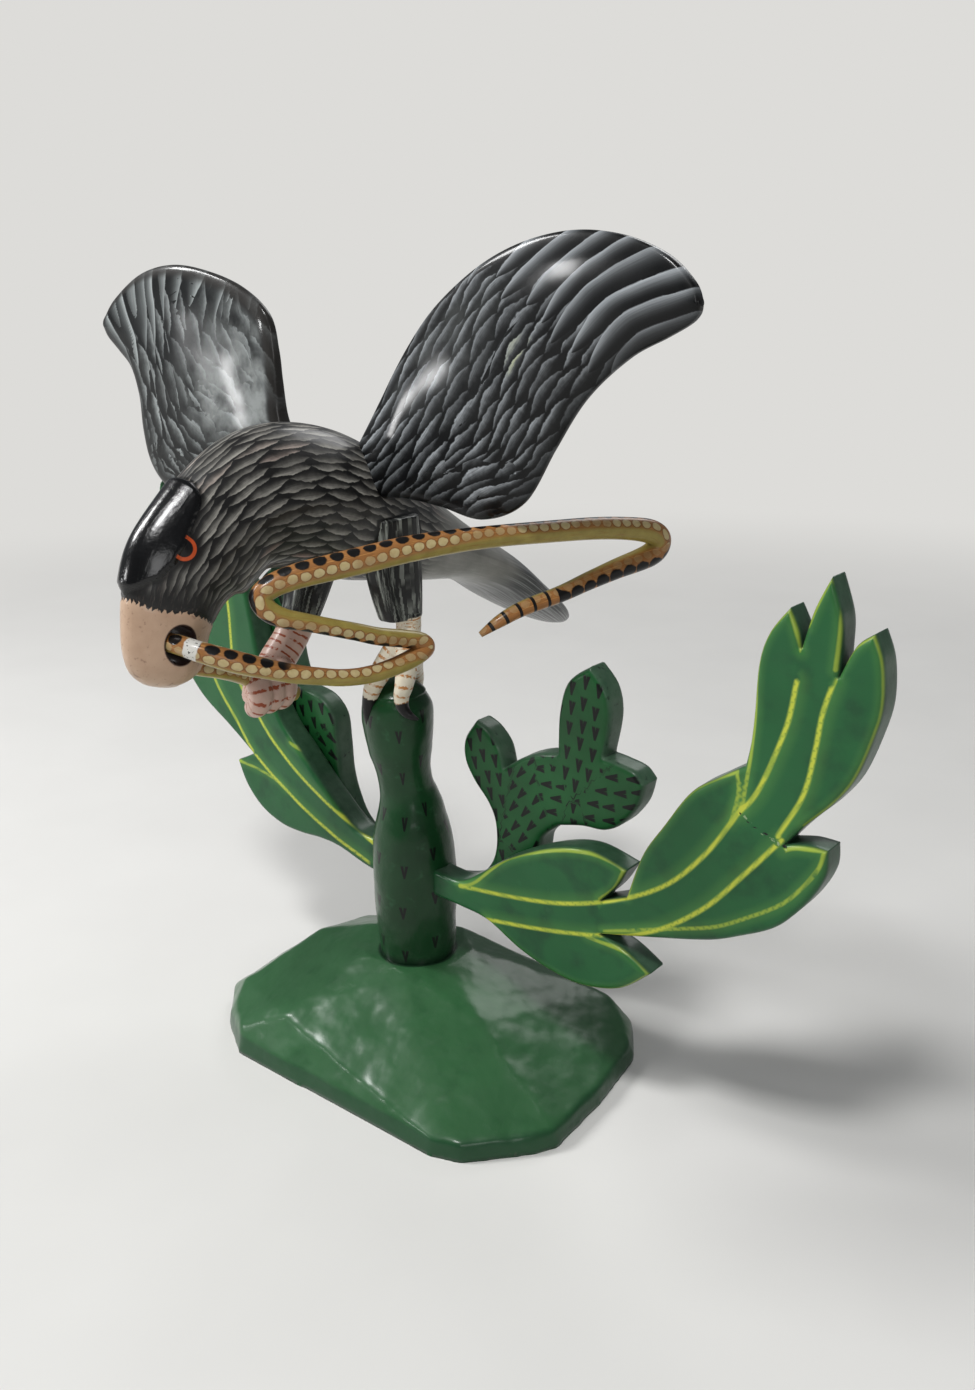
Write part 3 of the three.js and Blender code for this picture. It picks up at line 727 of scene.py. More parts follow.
def thigh_gap(points, rows):
    """Distance outside a thigh's block, seen from above, and below its top."""
    x, y, _, wide, deep = rows[1]
    power = 2 / THIGH_BOXY
    x = np.abs(points[:, 0] - x) / wide
    y = np.abs(points[:, 1] - y) / deep
    out = ((x ** power + y ** power) ** (1 / power) - 1) * wide
    return np.maximum(out, points[:, 2] - rows[0][2])


def mouth_bore():
    """The rod that cuts the hole across the beak."""
    ends = [[x, HOLE_Y, HOLE_Z, HOLE_R] for x in BORE_ENDS]
    rings, _, _ = tube(ends, BORE_STEPS, BORE_SIDES)
    rings[..., 1] = HOLE_Y + (rings[..., 1] - HOLE_Y) * HOLE_OVAL
    return make("mouth_bore", *lofted(rings))


def eagle_body():
    """The lofted body, with brow cap and eyes raised and the beak's line sunk, then bored."""
    t = np.linspace(0, 1, BODY_RINGS + 1)
    rows = run(BODY, t)
    y, z, high, wide, lean = rows.T[:, :, None]
    turn = whole_turn(BODY_SIDES)[None]
    slope = np.radians(lean)
    up = high * np.sin(turn)
    side = wide * np.cos(turn) * (1 - BACK_PINCH * np.maximum(0, np.sin(turn)))
    rings = np.stack([BODY_X + side, y - up * np.sin(slope), z + up * np.cos(slope)], -1)
    # angle from the back, 0 to 180 on either flank
    from_back = np.degrees(np.abs((turn - math.pi / 2 + math.pi) % (2 * math.pi) - math.pi))
    girth = np.radians(1) * (high + wide) / 2
    cap = np.minimum((table(CAP, t)[:, None] - from_back) * girth,
                     np.minimum(t - CAP_ENDS[0], CAP_ENDS[1] - t)[:, None] * HEAD_LENGTH)
    beak = (table(BEAK_LINE, 90 - from_back) - t[:, None]) * BEAK_LENGTH
    mirrored = rings.copy()
    mirrored[..., 0] = BODY_X + np.abs(side)
    eye = np.linalg.norm(mirrored - (EYE + [BODY_X, 0, 0]), axis=-1)
    rise = CAP_PROUD * np.clip(cap / CAP_EDGE + 0.4, 0, 1) ** CAP_ROUND
    rise *= table(CAP_FADE, t)[:, None]
    rise += EYE_PROUD * np.clip(1 - (eye / EYE_R) ** 2, 0, 1) * (cap < 0.4)
    rise -= GROOVE_DEEP * np.clip(1 - np.abs(beak) / GROOVE_R, 0, 1) * (t > GROOVE_FROM)[:, None]
    verts, quads = lofted(rings + unit(rings - rings.mean(1, keepdims=True)) * rise[..., None])
    round_back = np.repeat(turn - math.pi / 2, BODY_RINGS + 1, 0)
    facts = {"along": np.repeat(distance_along(rows[:, :2])[:, None], BODY_SIDES, 1),
             "back_cos": np.cos(round_back), "back_sin": np.sin(round_back),
             "cap": cap, "beak": beak, "eye": eye}
    body = make("painted_body", verts, quads)
    cutter = mouth_bore()
    settle(body, BOOLEAN={"object": cutter, "solver": "EXACT"})
    bpy.data.objects.remove(cutter)
    now = points_of(body)
    index = nearest(now, verts)
    hole = np.hypot((now[:, 1] - HOLE_Y) / HOLE_OVAL, now[:, 2] - HOLE_Z) - HOLE_R
    slot = np.minimum(thigh_gap(now, THIGH_NEAR), thigh_gap(now, THIGH_FAR))
    note(body, hole=hole, slot=slot, **{key: with_ends(value)[index] for key, value in facts.items()})
    return body


def thigh_block(rows):
    """As tube, for a thigh with a boxy section."""
    x, y, z, wide, deep = run(rows, np.linspace(0, 1, THIGH_STEPS)).T[:, :, None]
    turn = whole_turn(THIGH_SIDES)[None]
    boxy = [np.sign(f) * np.abs(f) ** THIGH_BOXY for f in (np.cos(turn), np.sin(turn))]
    rings = np.stack([x + wide * boxy[0], y + deep * boxy[1], z + 0 * boxy[0]], -1)
    return rings, rows[0][2] - rings[..., 2], np.repeat(turn, THIGH_STEPS, 0)


def leg(name, thigh_rows, limbs):
    """Thigh, shank and toes grown into one body; each point learns its limb, how far along
    it lies and its angle round. The thigh is limb 0."""
    parts = [thigh_block(thigh_rows)] + [tube(rows, LIMB_STEPS, LIMB_SIDES) for rows in limbs]
    verts, quads = [], []
    for rings, _, _ in parts:
        more, faces = lofted(rings)
        start = sum(len(v) for v in verts)
        verts.append(more)
        quads += [[start + i for i in face] for face in faces]
    piece = make(name, np.vstack(verts), quads)
    settle(piece, REMESH={"mode": "VOXEL", "voxel_size": LEG_VOXEL * MM},
           SMOOTH={"factor": 0.5, "iterations": LEG_SMOOTHING})
    points = points_of(piece)
    index = nearest(points, np.vstack([rings.reshape(-1, 3) for rings, _, _ in parts]))
    limb = np.concatenate([np.full(length.size, k) for k, (_, length, _) in enumerate(parts)])[index]
    along = np.concatenate([length.reshape(-1) for _, length, _ in parts])[index]
    angle = np.concatenate([turn.reshape(-1) for _, _, turn in parts])[index]
    in_thigh = points[:, 2] > thigh_rows[-1][2] + THIGH_EDGE
    limb = np.where(in_thigh, 0, limb)
    along = np.where(in_thigh, thigh_rows[0][2] - points[:, 2], along)
    note(piece, part=limb, along=along, turn_cos=np.cos(angle), turn_sin=np.sin(angle))
    return piece


# Boards sawn to an outline, with rounded edges and hand-worked faces

def board_face(loop, spacing):
    """A face's points and triangles, its rim's point numbers, and how far inside each point is."""
    before = unit(loop - np.roll(loop, 1, axis=0))
    after = unit(np.roll(loop, -1, axis=0) - loop)
    area = (loop[:, 0] * np.roll(loop[:, 1], -1) - np.roll(loop[:, 0], -1) * loop[:, 1]).sum()
    inward = unit(np.stack([-(before + after)[:, 1], (before + after)[:, 0]], -1)) * np.sign(area)
    low, high = loop.min(0), loop.max(0)
    grid_x, grid_z = np.meshgrid(np.arange(low[0], high[0], spacing),
                                 np.arange(low[1], high[1], spacing * GRID_ROW))
    grid_x = grid_x + (np.arange(len(grid_z)) % 2)[:, None] * spacing / 2
    grid = np.stack([grid_x.ravel(), grid_z.ravel()], -1)
    offered = [loop + inward * depth for depth in EDGE_DEPTHS] + [grid]
    wanted = [RING_GAP * depth for depth in EDGE_DEPTHS] + [EDGE_DEPTHS[-1] + GRID_GAP * spacing]
    found = [loop]
    for points, least in zip(offered, wanted):
        points = points[inside(points, loop)]
        away, _ = to_lines(points, loop, closed=True)
        found.append(points[away >= least])
    count = len(loop)
    ring = [(i, (i + 1) % count) for i in range(count)]
    made = geometry.delaunay_2d_cdt([Vector(p) for p in np.vstack(found)], ring, [], 1, 1e-5)
    flat = np.array([list(p) for p in made[0]])
    now_at = {old[0]: i for i, old in enumerate(made[3]) if old and old[0] < count}
    rim = np.array([now_at[i] for i in range(count)])
    away, _ = to_lines(flat, loop, closed=True)
    away[rim] = 0
    return flat, np.array(made[2]), rim, away


def board(name, runs, front, thick, edge, seed, crown=0.0):
    """A board whose faces swell by crown; each point learns its distance inside the rim."""
    flat, tris, rim, away = board_face(outline_of(runs, BOARD_STEP), BOARD_STEP)
    inset = np.clip(edge - away, 0, edge)
    drop = edge - np.sqrt(np.maximum(edge ** 2 - inset ** 2, 0))
    places = np.stack([flat[:, 0], np.zeros(len(flat)), flat[:, 1]], -1)
    size, depth = FACE_RIPPLE
    ripple = wander(places, size, seed + 1) * np.clip(away / 4, 0, 1) - 1
    swell = depth * ripple - crown * np.exp(-np.clip(away - edge, 0, None) / CROWN_REACH)
    front_y = front + drop - swell
    back_y = front + thick - drop + swell
    layers = [np.stack([flat[:, 0], y, flat[:, 1]], -1) for y in (front_y, back_y)]
    faces = tris[:, ::-1].tolist() + (tris + len(flat)).tolist()
    depths = [away, away]
    previous = rim
    for level in range(1, SIDE_LEVELS):
        f = level / SIDE_LEVELS
        y = front_y[rim] * (1 - f) + back_y[rim] * f
        current = sum(len(layer) for layer in layers) + np.arange(len(rim))
        layers.append(np.stack([flat[rim, 0], y, flat[rim, 1]], -1))
        depths.append(front_y[rim] - y)
        faces += band(previous, current)
        previous = current
    faces += band(previous, rim + len(flat))
    return make(name, np.vstack(layers), faces, inset=np.concatenate(depths))


def line_gaps(flat, lines):
    """Distance to the nearest painted line, and the glow that fades to the left of the lines."""
    best = np.full(len(flat), NO_LINE)
    glow = np.zeros(len(flat))
    for line in lines:
        away, side = to_lines(flat, run(line, np.linspace(0, 1, 10 * len(line))))
        best = np.minimum(best, away)
        glow = np.maximum(glow, np.clip(1 - away / GLOW_WIDE, 0, 1) * (side > 0))
    return best, glow


def spray(name, outline, veins, edges, cracks, seed):
    """A leaf spray; each point learns its distance to the painted lines and cracks."""
    piece = board(name, outline, SPRAY_FRONT, SPRAY_THICK, SPRAY_EDGE, seed)
    flat = points_of(piece)[:, [0, 2]]
    vein, glow = line_gaps(flat, veins)
    note(piece, vein=vein, vein_glow=glow, rim=line_gaps(flat, edges)[0],
         crack=line_gaps(flat, cracks)[0])
    return piece


def nopal(name, outline, pads, seed):
    """A nopal branch; each point learns its place along and across the pad that it is on."""
    piece = board(name, outline, NOPAL_FRONT, NOPAL_THICK, NOPAL_EDGE, seed, NOPAL_CROWN)
    flat = points_of(piece)[:, [0, 2]]
    pick = np.stack([to_lines(flat, pad)[0] for pad in pads], -1).argmin(1)
    start = np.array([pad[0] for pad in pads], float)[pick]
    ahead = unit(np.array([np.subtract(pad[1], pad[0]) for pad in pads], float))[pick]
    gone = flat - start
    across = gone[:, 0] * ahead[:, 1] - gone[:, 1] * ahead[:, 0]
    note(piece, pad_u=(gone * ahead).sum(1), pad_v=across + PAD_SHIFT)
    return piece


# The mound, the trunk and the snake

def mound():
    """Flat facets over the hull of the mound's corners, with softened edges."""
    corners = [(x, y, 0) for x, y in MOUND_FOOT]
    corners += [(x * MOUND_BEVEL[0], y * MOUND_BEVEL[1], MOUND_RIM) for x, y in MOUND_FOOT]
    corners += [(x, y, MOUND_TOP) for x, y in MOUND_CREST] + MOUND_RIDGES
    bm = bmesh.new()
    for corner in corners:
        bm.verts.new([c * MM for c in corner])
    bmesh.ops.convex_hull(bm, input=bm.verts)
    bmesh.ops.delete(bm, geom=[v for v in bm.verts if not v.link_faces], context="VERTS")
    mesh = bpy.data.meshes.new("painted_mound")
    bm.to_mesh(mesh)
    bm.free()
    piece = put("painted_mound", mesh)
    settle(piece, REMESH={"mode": "VOXEL", "voxel_size": MOUND_VOXEL * MM})
    sharp = points_of(piece)
    settle(piece, SMOOTH={"factor": 0.5, "iterations": MOUND_SMOOTHING})
    soft = points_of(piece)
    push = (ripples(soft, MOUND_RIPPLES) - MOUND_SINK) * table(MOUND_FADE, soft[:, 2])
    now = soft + unit(soft - MOUND_CORE) * push[:, None]
    now[:, 2] = np.where(sharp[:, 2] < UNDERSIDE, 0, np.clip(now[:, 2], 0, MOUND_TOP))
    piece.data.vertices.foreach_set("co", (now * MM).ravel())
    note(piece, ridge=np.linalg.norm(soft - sharp, axis=1),
         trunk_gap=np.hypot(now[:, 0], now[:, 1]) - TRUNK_FOOT_R)
    return piece


def trunk():
    """The turned and carved post; each point learns its height and its angle round."""
    rings, _, _ = tube(TRUNK, TRUNK_STEPS, TRUNK_SIDES)
    verts, quads = lofted(rings)
    push = ripples(verts, TRUNK_RIPPLES) - TRUNK_SINK
    away = unit((verts - TRUNK_AXIS) * [1, 1, 0])
    verts = verts + away * (push * (verts[:, 2] < TRUNK_DOME))[:, None]
    angle = np.arctan2(verts[:, 1], verts[:, 0])
    return make("painted_trunk", verts, quads, height=verts[:, 2],
                turn_cos=np.cos(angle), turn_sin=np.sin(angle))


def snake():
    """The carved snake; each point learns its length along, its angle from the back, its
    girth, its distance from the collar and whether it is on the tail."""
    last = len(SNAKE) - 1
    steps = last * SNAKE_STEPS
    rows = np.array(SNAKE_BACK, float)
    back = [np.interp(np.arange(last + 1), rows[:, 0], rows[:, k]) for k in (1, 2, 3)]
    rings, along, turn = tube(SNAKE, steps, SNAKE_SIDES, back=unit(np.stack(back, -1)))
    girth = np.repeat(run(SNAKE, np.linspace(0, 1, steps + 1))[:, 3:4], SNAKE_SIDES, 1)
    collar, tail = np.interp([COLLAR_ROW, TAIL_ROW], np.linspace(0, last, steps + 1), along[:, 0])
    facts = {"along": along, "back_cos": np.cos(turn), "back_sin": np.sin(turn), "girth": girth,
             "collar": np.abs(along - collar), "tail": (along > tail) * 1.0}
    facts = {key: with_ends(value) for key, value in facts.items()}
    return make("painted_snake", *lofted(rings), **facts)


# Paint mixing: values that can be added and multiplied, and materials made of them

def ink(code):
    """A colour written as sRGB hex, made linear."""
    parts = [int(code[i:i + 2], 16) / 255 for i in (1, 3, 5)]
    linear = [c / 12.92 if c <= 0.04045 else ((c + 0.055) / 1.055) ** 2.4 for c in parts]
    return (*linear, 1.0)


class Value:
    """The output of a node; arithmetic on it adds more nodes."""

    def __init__(self, paint, socket):
        self.paint = paint
        self.socket = socket

    def math(self, operation, *others):
        inputs = dict(enumerate([self, *others]))
        return self.paint.add("ShaderNodeMath", inputs, operation=operation)

    def __add__(self, other):
        return self.math("ADD", other)

    def __sub__(self, other):
        return self.math("SUBTRACT", other)

    def __rsub__(self, other):
        return self.paint.add("ShaderNodeMath", {0: other, 1: self}, operation="SUBTRACT")

    def __mul__(self, other):
        return self.math("MULTIPLY", other)

    def __truediv__(self, other):
        return self.math("DIVIDE", other)

    def __pow__(self, other):
        return self.math("POWER", other)

    __radd__ = __add__
    __rmul__ = __mul__

    def clip(self):
        return self.paint.add("ShaderNodeClamp", {0: self})

    def abs(self):
        return self.math("ABSOLUTE")

    def between(self, low, high):
        """0 below low and 1 above high (or the other way round), with soft ends."""
        inputs = {0: self, 1: low, 2: high, 3: 0.0, 4: 1.0}
        return self.paint.add("ShaderNodeMapRange", inputs, interpolation_type="SMOOTHSTEP")

    def cells(self):
        """The whole number below it, and how far it lies from the middle of that cell."""
        whole = self.math("FLOOR")
        return whole, self - whole - 0.5


class Paint:
    """A material in the making. Sizes in its patterns are in millimetres."""

    def __init__(self, name):
        self.material = bpy.data.materials.new(name)
        self.material.use_nodes = True
        self.tree = self.material.node_tree
        self.tree.nodes.clear()
        place = self.add("ShaderNodeTexCoord", out="Object")
        self.place = self.add("ShaderNodeVectorMath", {0: place, 1: (1 / MM, 1 / MM, 1 / MM)},
                              operation="MULTIPLY")

    def add(self, kind, inputs=None, out=0, **settings):
        """Adds a node with its settings, fills or links its inputs, and gives one output."""
        node = self.tree.nodes.new(kind)
        for key, value in settings.items():
            setattr(node, key, value)
        for slot, value in (inputs or {}).items():
            if isinstance(value, Value):
                self.tree.links.new(value.socket, node.inputs[slot])
            else:
                node.inputs[slot].default_value = ink(value) if isinstance(value, str) else value
        return Value(self, node.outputs[out])

    def value(self, name):
        return self.add("ShaderNodeAttribute", out="Fac", attribute_name=name)

    def angle(self, name):
        """An angle stored as its cosine and sine, in radians."""
        return self.value(name + "_sin").math("ARCTAN2", self.value(name + "_cos"))

    def axis(self, number):
        """The place in millimetres along x, y or z: 0, 1 or 2."""
        return self.add("ShaderNodeSeparateXYZ", {0: self.place}, out=number)

    def mix(self, amount, first, second):
        inputs = {0: amount, 6: first, 7: second}
        return self.add("ShaderNodeMix", inputs, out=2, data_type="RGBA")

    def cloud(self, size, detail=2.0, at=None):
        """Soft noise, 0 to 1, with blotches about size mm across."""
        inputs = {"Vector": at or self.place, "Scale": 1.0 / size, "Detail": detail}
        return self.add("ShaderNodeTexNoise", inputs)

    def point(self, x, y=0.0, z=0.0):
        return self.add("ShaderNodeCombineXYZ", {0: x, 1: y, 2: z})

    def chance(self, x, y=0.0, z=0.0):
        """A fixed random number, 0 to 1, for whole numbers."""
        return self.add("ShaderNodeTexWhiteNoise", {"Vector": self.point(x, y, z)})

    def uneven(self, coarse, coarse_share, fine, fine_share):
        """Relief from two clouds of the given sizes, each as high as its share."""
        return self.cloud(coarse) * coarse_share + self.cloud(fine) * fine_share

    def done(self, colour, rough, relief, depth, coat, coat_rough, shine=0.22):
        """Varnished paint: colour, roughness and fine relief given in mm."""
        bump = {"Strength": 1.0, "Distance": depth * MM, "Height": relief}
        inputs = {"Base Color": colour, "Roughness": rough, "Coat Weight": coat,
                  "Coat Roughness": coat_rough, "IOR": PAINT_IOR, "Coat IOR": VARNISH_IOR,
                  "Specular IOR Level": shine, "Normal": self.add("ShaderNodeBump", bump)}
        return self.output(self.add("ShaderNodeBsdfPrincipled", inputs))

    def output(self, shader):
        node = self.tree.nodes.new("ShaderNodeOutputMaterial")
        self.tree.links.new(shader.socket, node.inputs["Surface"])
        return self.material


def strokes(p, u, v, pitch, length, hair=0.35, falloff=3.2):
    """Leaf-shaped strokes in two interleaved sets of rows, light along one edge, with brush
    hairs. Gives lightness from 0 to 1 and a fixed random number for each stroke."""
    bright, luck = 0.0, 0.5
    wobble = (p.cloud(9) - 0.5) * 0.3 + (p.cloud(2.2) - 0.5) * 0.16
    for layer in (0.0, 1.0):
        row, b = (v / (2 * pitch) + 0.5 * layer + wobble).cells()
        along = u / length + p.chance(row, layer) * 0.6 + 0.5 * layer
        column = along.math("FLOOR")
        chance = p.chance(row, column, layer)
        bow = ((along - column) * math.pi).math("SINE").math("MAXIMUM", 0.0001)
        half = (bow ** STROKE_BLUNT) * (STROKE_WIDTH / 2)
        shape = (half - b.abs()).between(-0.01, 0.05)
        fade = ((b + half) / (half * 2)).clip()
        hairs = p.cloud(1, 3, at=p.point(u * 0.14, v / hair, chance * 9))
        glow = (1 - fade) ** falloff * fade.between(-0.04, 0.1) * (0.45 + chance * 0.6)
        glow = glow * (0.25 + hairs * 1.6) * (bow ** 0.3)
        bright = bright * (1 - shape) + glow * shape
        luck = luck * (1 - shape) + chance * shape
    return bright.clip(), luck


def wing_paint(name, dark, light, highlight_and_wear, pitch):
    """Near-black gloss with pale-edged feather strokes, long flight feathers toward the tip, a
    painted highlight near the root as strong as glare, and a worn brownish leading edge."""
    p = Paint(name)
    u = p.value("flow_u")
    lead = p.value("lead")
    trail = p.value("trail")
    # the rows double up wherever the brush lines crowd together
    doubled = p.value("crowd").math("LOGARITHM", 2.0).math("ROUND")
    v = p.value("flow_v") / (doubled * math.log(2)).math("EXPONENT")
    small, luck = strokes(p, u, v, pitch, WING_STROKE)
    # long flight feathers, one row each, that begin as points
    row, b = (v / (pitch * 2.1) + (p.cloud(30) - 0.5) * 0.3).cells()
    start = p.chance(row, 3.0) * 9 - 5
    width = ((p.value("flight") - start) / FLIGHT_POINT).clip() ** 0.6 * 0.5
    shape = (width - b.abs()).between(0.0, 0.03)
    fade = ((b + width) / (width * 2 + 0.001)).clip()
    hairs = p.cloud(1, 3, at=p.point(u * 0.05, v / 0.5, row))
    long = (1 - fade) ** 3.6 * (0.55 + hairs * 0.8) * (0.7 + p.chance(row, 8.0) * 0.4)
    bright = (small * (1 - shape) + long * shape) * (0.25 + trail.between(3.0, 12.0) * 0.75)
    colour = p.mix(bright, dark, light)
    creamy = p.value("cream") * bright.between(0.1, 0.6) * luck.between(0.5, 0.55) * (1 - shape)
    colour = p.mix(creamy * 0.85, colour, "#a3a888")
    # painted highlight: a pale patch near the root, clear of both edges, as strong as glare
    painted_highlight = p.value("span").between(0.7, 0.3) * trail.between(38, 78) * highlight_and_wear
    painted_highlight = painted_highlight * p.cloud(14, 3).between(0.25, 0.7) * (0.6 + p.cloud(2.5, 3) * 0.8)
    colour = p.mix((painted_highlight * lead.between(5, 9)).clip(), colour, "#878b8a")
    colour = p.mix(lead.between(9, 4) * (highlight_and_wear * 0.7), colour, "#2c2a28")
    relief = bright * 0.15 + p.uneven(2.5, 0.4, 0.8, 0.15)
    return p.done(colour, 0.36 + p.cloud(6) * 0.12, relief, 0.2, 0.5, 0.11, 0.12)


def body_paint():
    """Warm grey feather strokes on black, the black brow, orange eye ring and pinkish beak."""
    p = Paint("eagle_body_paint")
    u = p.value("along")
    v = p.angle("back") * (BODY_GIRTH / (2 * math.pi))
    bright, luck = strokes(p, u, v, BODY_PITCH, BODY_STROKE, hair=0.12, falloff=2.4)
    warm = p.mix(luck.between(0.8, 0.9), "#b3b0a8", "#ab938b")
    # paler strokes along the back: painted light on the top of the body
    warm = p.mix(p.value("back_cos").between(0.3, 0.95) * 0.6, warm, "#c4c0b5")
    feathers = p.mix(bright, "#0c0b0b", warm)
    feathers = p.mix((p.cloud(28) - 0.35).clip() * 0.3, feathers, "#33322f")
    # smooth rump and long tail streaks
    streak = p.cloud(1, 3, at=p.point(u * 0.025, v * 1.6, 4.0))
    tail = p.mix(streak.between(0.42, 0.75), "#2b2c2c", "#9b9d9b")
    tail = p.mix(p.cloud(18) * 0.5, tail, "#55585a")
    rump = p.mix(p.cloud(12, 4), "#6a6a66", "#a3a29b")
    colour = p.mix(u.between(*RUMP) * 0.9, feathers, rump)
    colour = p.mix(u.between(*TAIL), colour, tail)
    # face: fine dark strokes toward the beak, whose edge is serrated
    teeth = (v * 0.9 + p.cloud(3) * 1.5).math("PINGPONG", 0.5) * 2.6
    serrated = p.value("beak") + teeth - 1.0
    face = p.cloud(1, 3, at=p.point(u * 0.3, v * 4.0, 1.0)).between(0.55, 0.75)
    face = p.mix(face, "#0b0908", "#3a302b")
    colour = p.mix(serrated.between(-16, -2) * u.between(*FACE), colour, face)
    # painted shadow: dark round the eye and in a band round the raised brow cap
    eye = p.value("eye")
    colour = p.mix(eye.between(10.5, 5.5), colour, "#0d0908")
    cap = p.value("cap")
    colour = p.mix(cap.between(-7.0, -0.8) * 0.8, colour, "#0b0a0a")
    horn = p.mix(p.cloud(9, 3), "#c2a68d", "#a08169")
    horn = p.mix(p.cloud(2.2, 4).between(0.6, 0.72) * 0.5, horn, "#6b4a3c")
    colour = p.mix(serrated.between(-0.2, 0.2), colour, horn)
    gloss = cap.between(-0.9, -0.3)
    colour = p.mix(gloss, colour, "#060607")
    below_cap = cap.between(0.6, 0.0)
    colour = p.mix(eye.between(4.3, 3.9) * below_cap, colour, "#080606")
    colour = p.mix((eye - EYE_RING).abs().between(0.9, 0.6) * below_cap, colour, "#b84a1e")
    colour = p.mix(p.value("hole").between(0.9, 0.2), colour, "#2f170e")
    colour = p.mix((p.value("slot") - 0.4).abs().between(1.1, 0.3), colour, "#050505")
    rough = 0.42 - gloss * 0.24 + p.cloud(5) * 0.1
    relief = bright * 0.15 + p.uneven(2.5, 0.4, 0.7, 0.12)
    return p.done(colour, rough, relief, 0.3, 0.4, 0.14, 0.4)


def leg_paint(name, skin, stripe, claw):
    """Black thigh with grey streaks; pale foot with short brush stripes; black talons where
    claw is 1."""
    p = Paint(name)
    along = p.value("along")
    part = p.value("part")
    streak = p.cloud(1, 3, at=p.point(p.angle("turn") * 7, along * 0.05, 2.0))
    thigh = p.mix(streak.between(0.45, 0.72), "#0d0e0e", "#8d918a")
    foot = p.mix(p.cloud(5, 3), *skin)
    gap = (along / STRIPE_PITCH + (p.cloud(7) - 0.5) * 0.5).cells()[1].abs()
    short = (p.value("turn_cos").abs() - 0.55).abs().between(0.5, 0.35)
    band = gap.between(0.17, 0.09) * short * p.cloud(3.5).between(0.32, 0.42)
    foot = p.mix(band, foot, stripe)
    # the first limb is the shank with its toe, so its talon starts farther along
    start = part.between(1.6, 1.4) * SHANK_EXTRA + TALON_FROM
    black = (along - start).between(-0.5, 0.5) * part.between(0.4, 0.6) * claw
    foot = p.mix(black, foot, "#0c0b0b")
    colour = p.mix(part.between(0.3, 0.7), thigh, foot)
    return p.done(colour, 0.4 + p.cloud(4) * 0.1, p.uneven(3, 0.5, 0.8, 0.2), 0.25, 0.35, 0.2)


def leaf_paint():
    """Mid-green faces, yellow-green veins that fade to one side, and darker worn board sides."""
    p = Paint("leaf_paint")
    rim = p.value("rim")
    front = p.axis(1).between(-5.2, -6.8)
    green = p.mix(p.cloud(30), "#1f5c31", "#164928")
    green = p.mix(p.cloud(16, 3).between(0.5, 0.75) * 0.6, green, "#0f3521")
    green = p.mix(p.cloud(8, 3).between(0.62, 0.8) * 0.2, green, "#37764a")
    wavy = (p.cloud(6) - 0.5) * 0.9
    line = (p.value("vein") + wavy * 0.3).between(1.6, 0.6)
    core = (p.value("vein") + wavy * 0.2).between(0.95, 0.5) * p.cloud(9).between(0.25, 0.55)
    edge = (rim + wavy * 0.3).between(1.25, 0.3)
    glow = p.value("vein_glow") * 0.32 + rim.between(5.0, 0.6) * 0.2
    face = p.mix(glow.clip(), green, "#5f9442")
    face = p.mix((line + edge).clip() * 0.8, face, "#94a83a")
    face = p.mix(core * 0.75, face, "#bdc03f")
    worn = p.mix(p.cloud(10, 4), "#1d4a2f", "#47604c")
    worn = p.mix(p.cloud(4, 4).between(0.6, 0.8) * 0.6, worn, "#101a12")
    colour = p.mix(front, worn, face)
    sides = p.mix(p.cloud(5, 3), "#16301f", "#3c5a44")
    colour = p.mix(p.value("inset").between(0.9, -0.3) * 0.8, colour, sides)
    crack = (p.value("crack") + (p.cloud(2.5, 3) - 0.5) * 1.4).abs()
    colour = p.mix(crack.between(0.5, 0.15) * front, colour, "#0a0f0a")
    pale = (crack - 0.9).abs().between(0.5, 0.2) * front * p.cloud(2.5).between(0.55, 0.65)
    colour = p.mix(pale * 0.6, colour, "#9fae8c")
    brush = p.add("ShaderNodeVectorMath", {0: p.place, 1: (0.12, 0.4, 0.5)}, operation="MULTIPLY")
    relief = p.cloud(1, 3, at=brush) * 0.4 + p.cloud(3) * 0.2 - crack.between(0.5, 0.1) * 1.2
    return p.done(colour, 0.36 + p.cloud(7) * 0.12, relief, 0.25, 0.4, 0.2)


def spine_marks(p, u, v, length, width, size):
    """Staggered two-stroke marks, open toward the direction in which u grows."""
    row, across = (v / width).cells()
    along = u / length + p.chance(row, 5.0) * 0.7 + row * 0.5
    column, ahead = along.cells()
    x = ahead * length + (p.chance(row, column) - 0.5) * 2.5
    y = across * width + (p.chance(column, row) - 0.5) * 1.8
    back = (x + SPINE_BACK) / SPINE_LENGTH
    arm = y.abs() - back * 1.25
    thick = 0.2 + back.clip() * 0.25
    mark = (arm.abs() - thick * size).between(0.2, 0.0)
    return mark * back.between(-0.02, 0.04) * back.between(1.0, 0.85)


def nopal_paint():
    """Green pads with two-stroke black spines that point to the pad's end; dark worn sides."""
    p = Paint("nopal_paint")
    green = p.mix(p.cloud(16, 3), "#1c5a2c", "#0f3a1b")
    spines = spine_marks(p, p.value("pad_u"), p.value("pad_v"), *PAD_SPINES)
    colour = p.mix(spines, green, "#020403")
    worn = p.mix(p.cloud(7, 4), "#1c4029", "#4f6653")
    worn = p.mix(p.cloud(3, 4).between(0.58, 0.8) * 0.8, worn, "#0e130f")
    colour = p.mix(p.value("inset").between(1.6, 0.2), colour, worn)
    return p.done(colour, 0.4 + p.cloud(7) * 0.1, p.uneven(5, 0.5, 1.2, 0.2), 0.3, 0.35, 0.22)


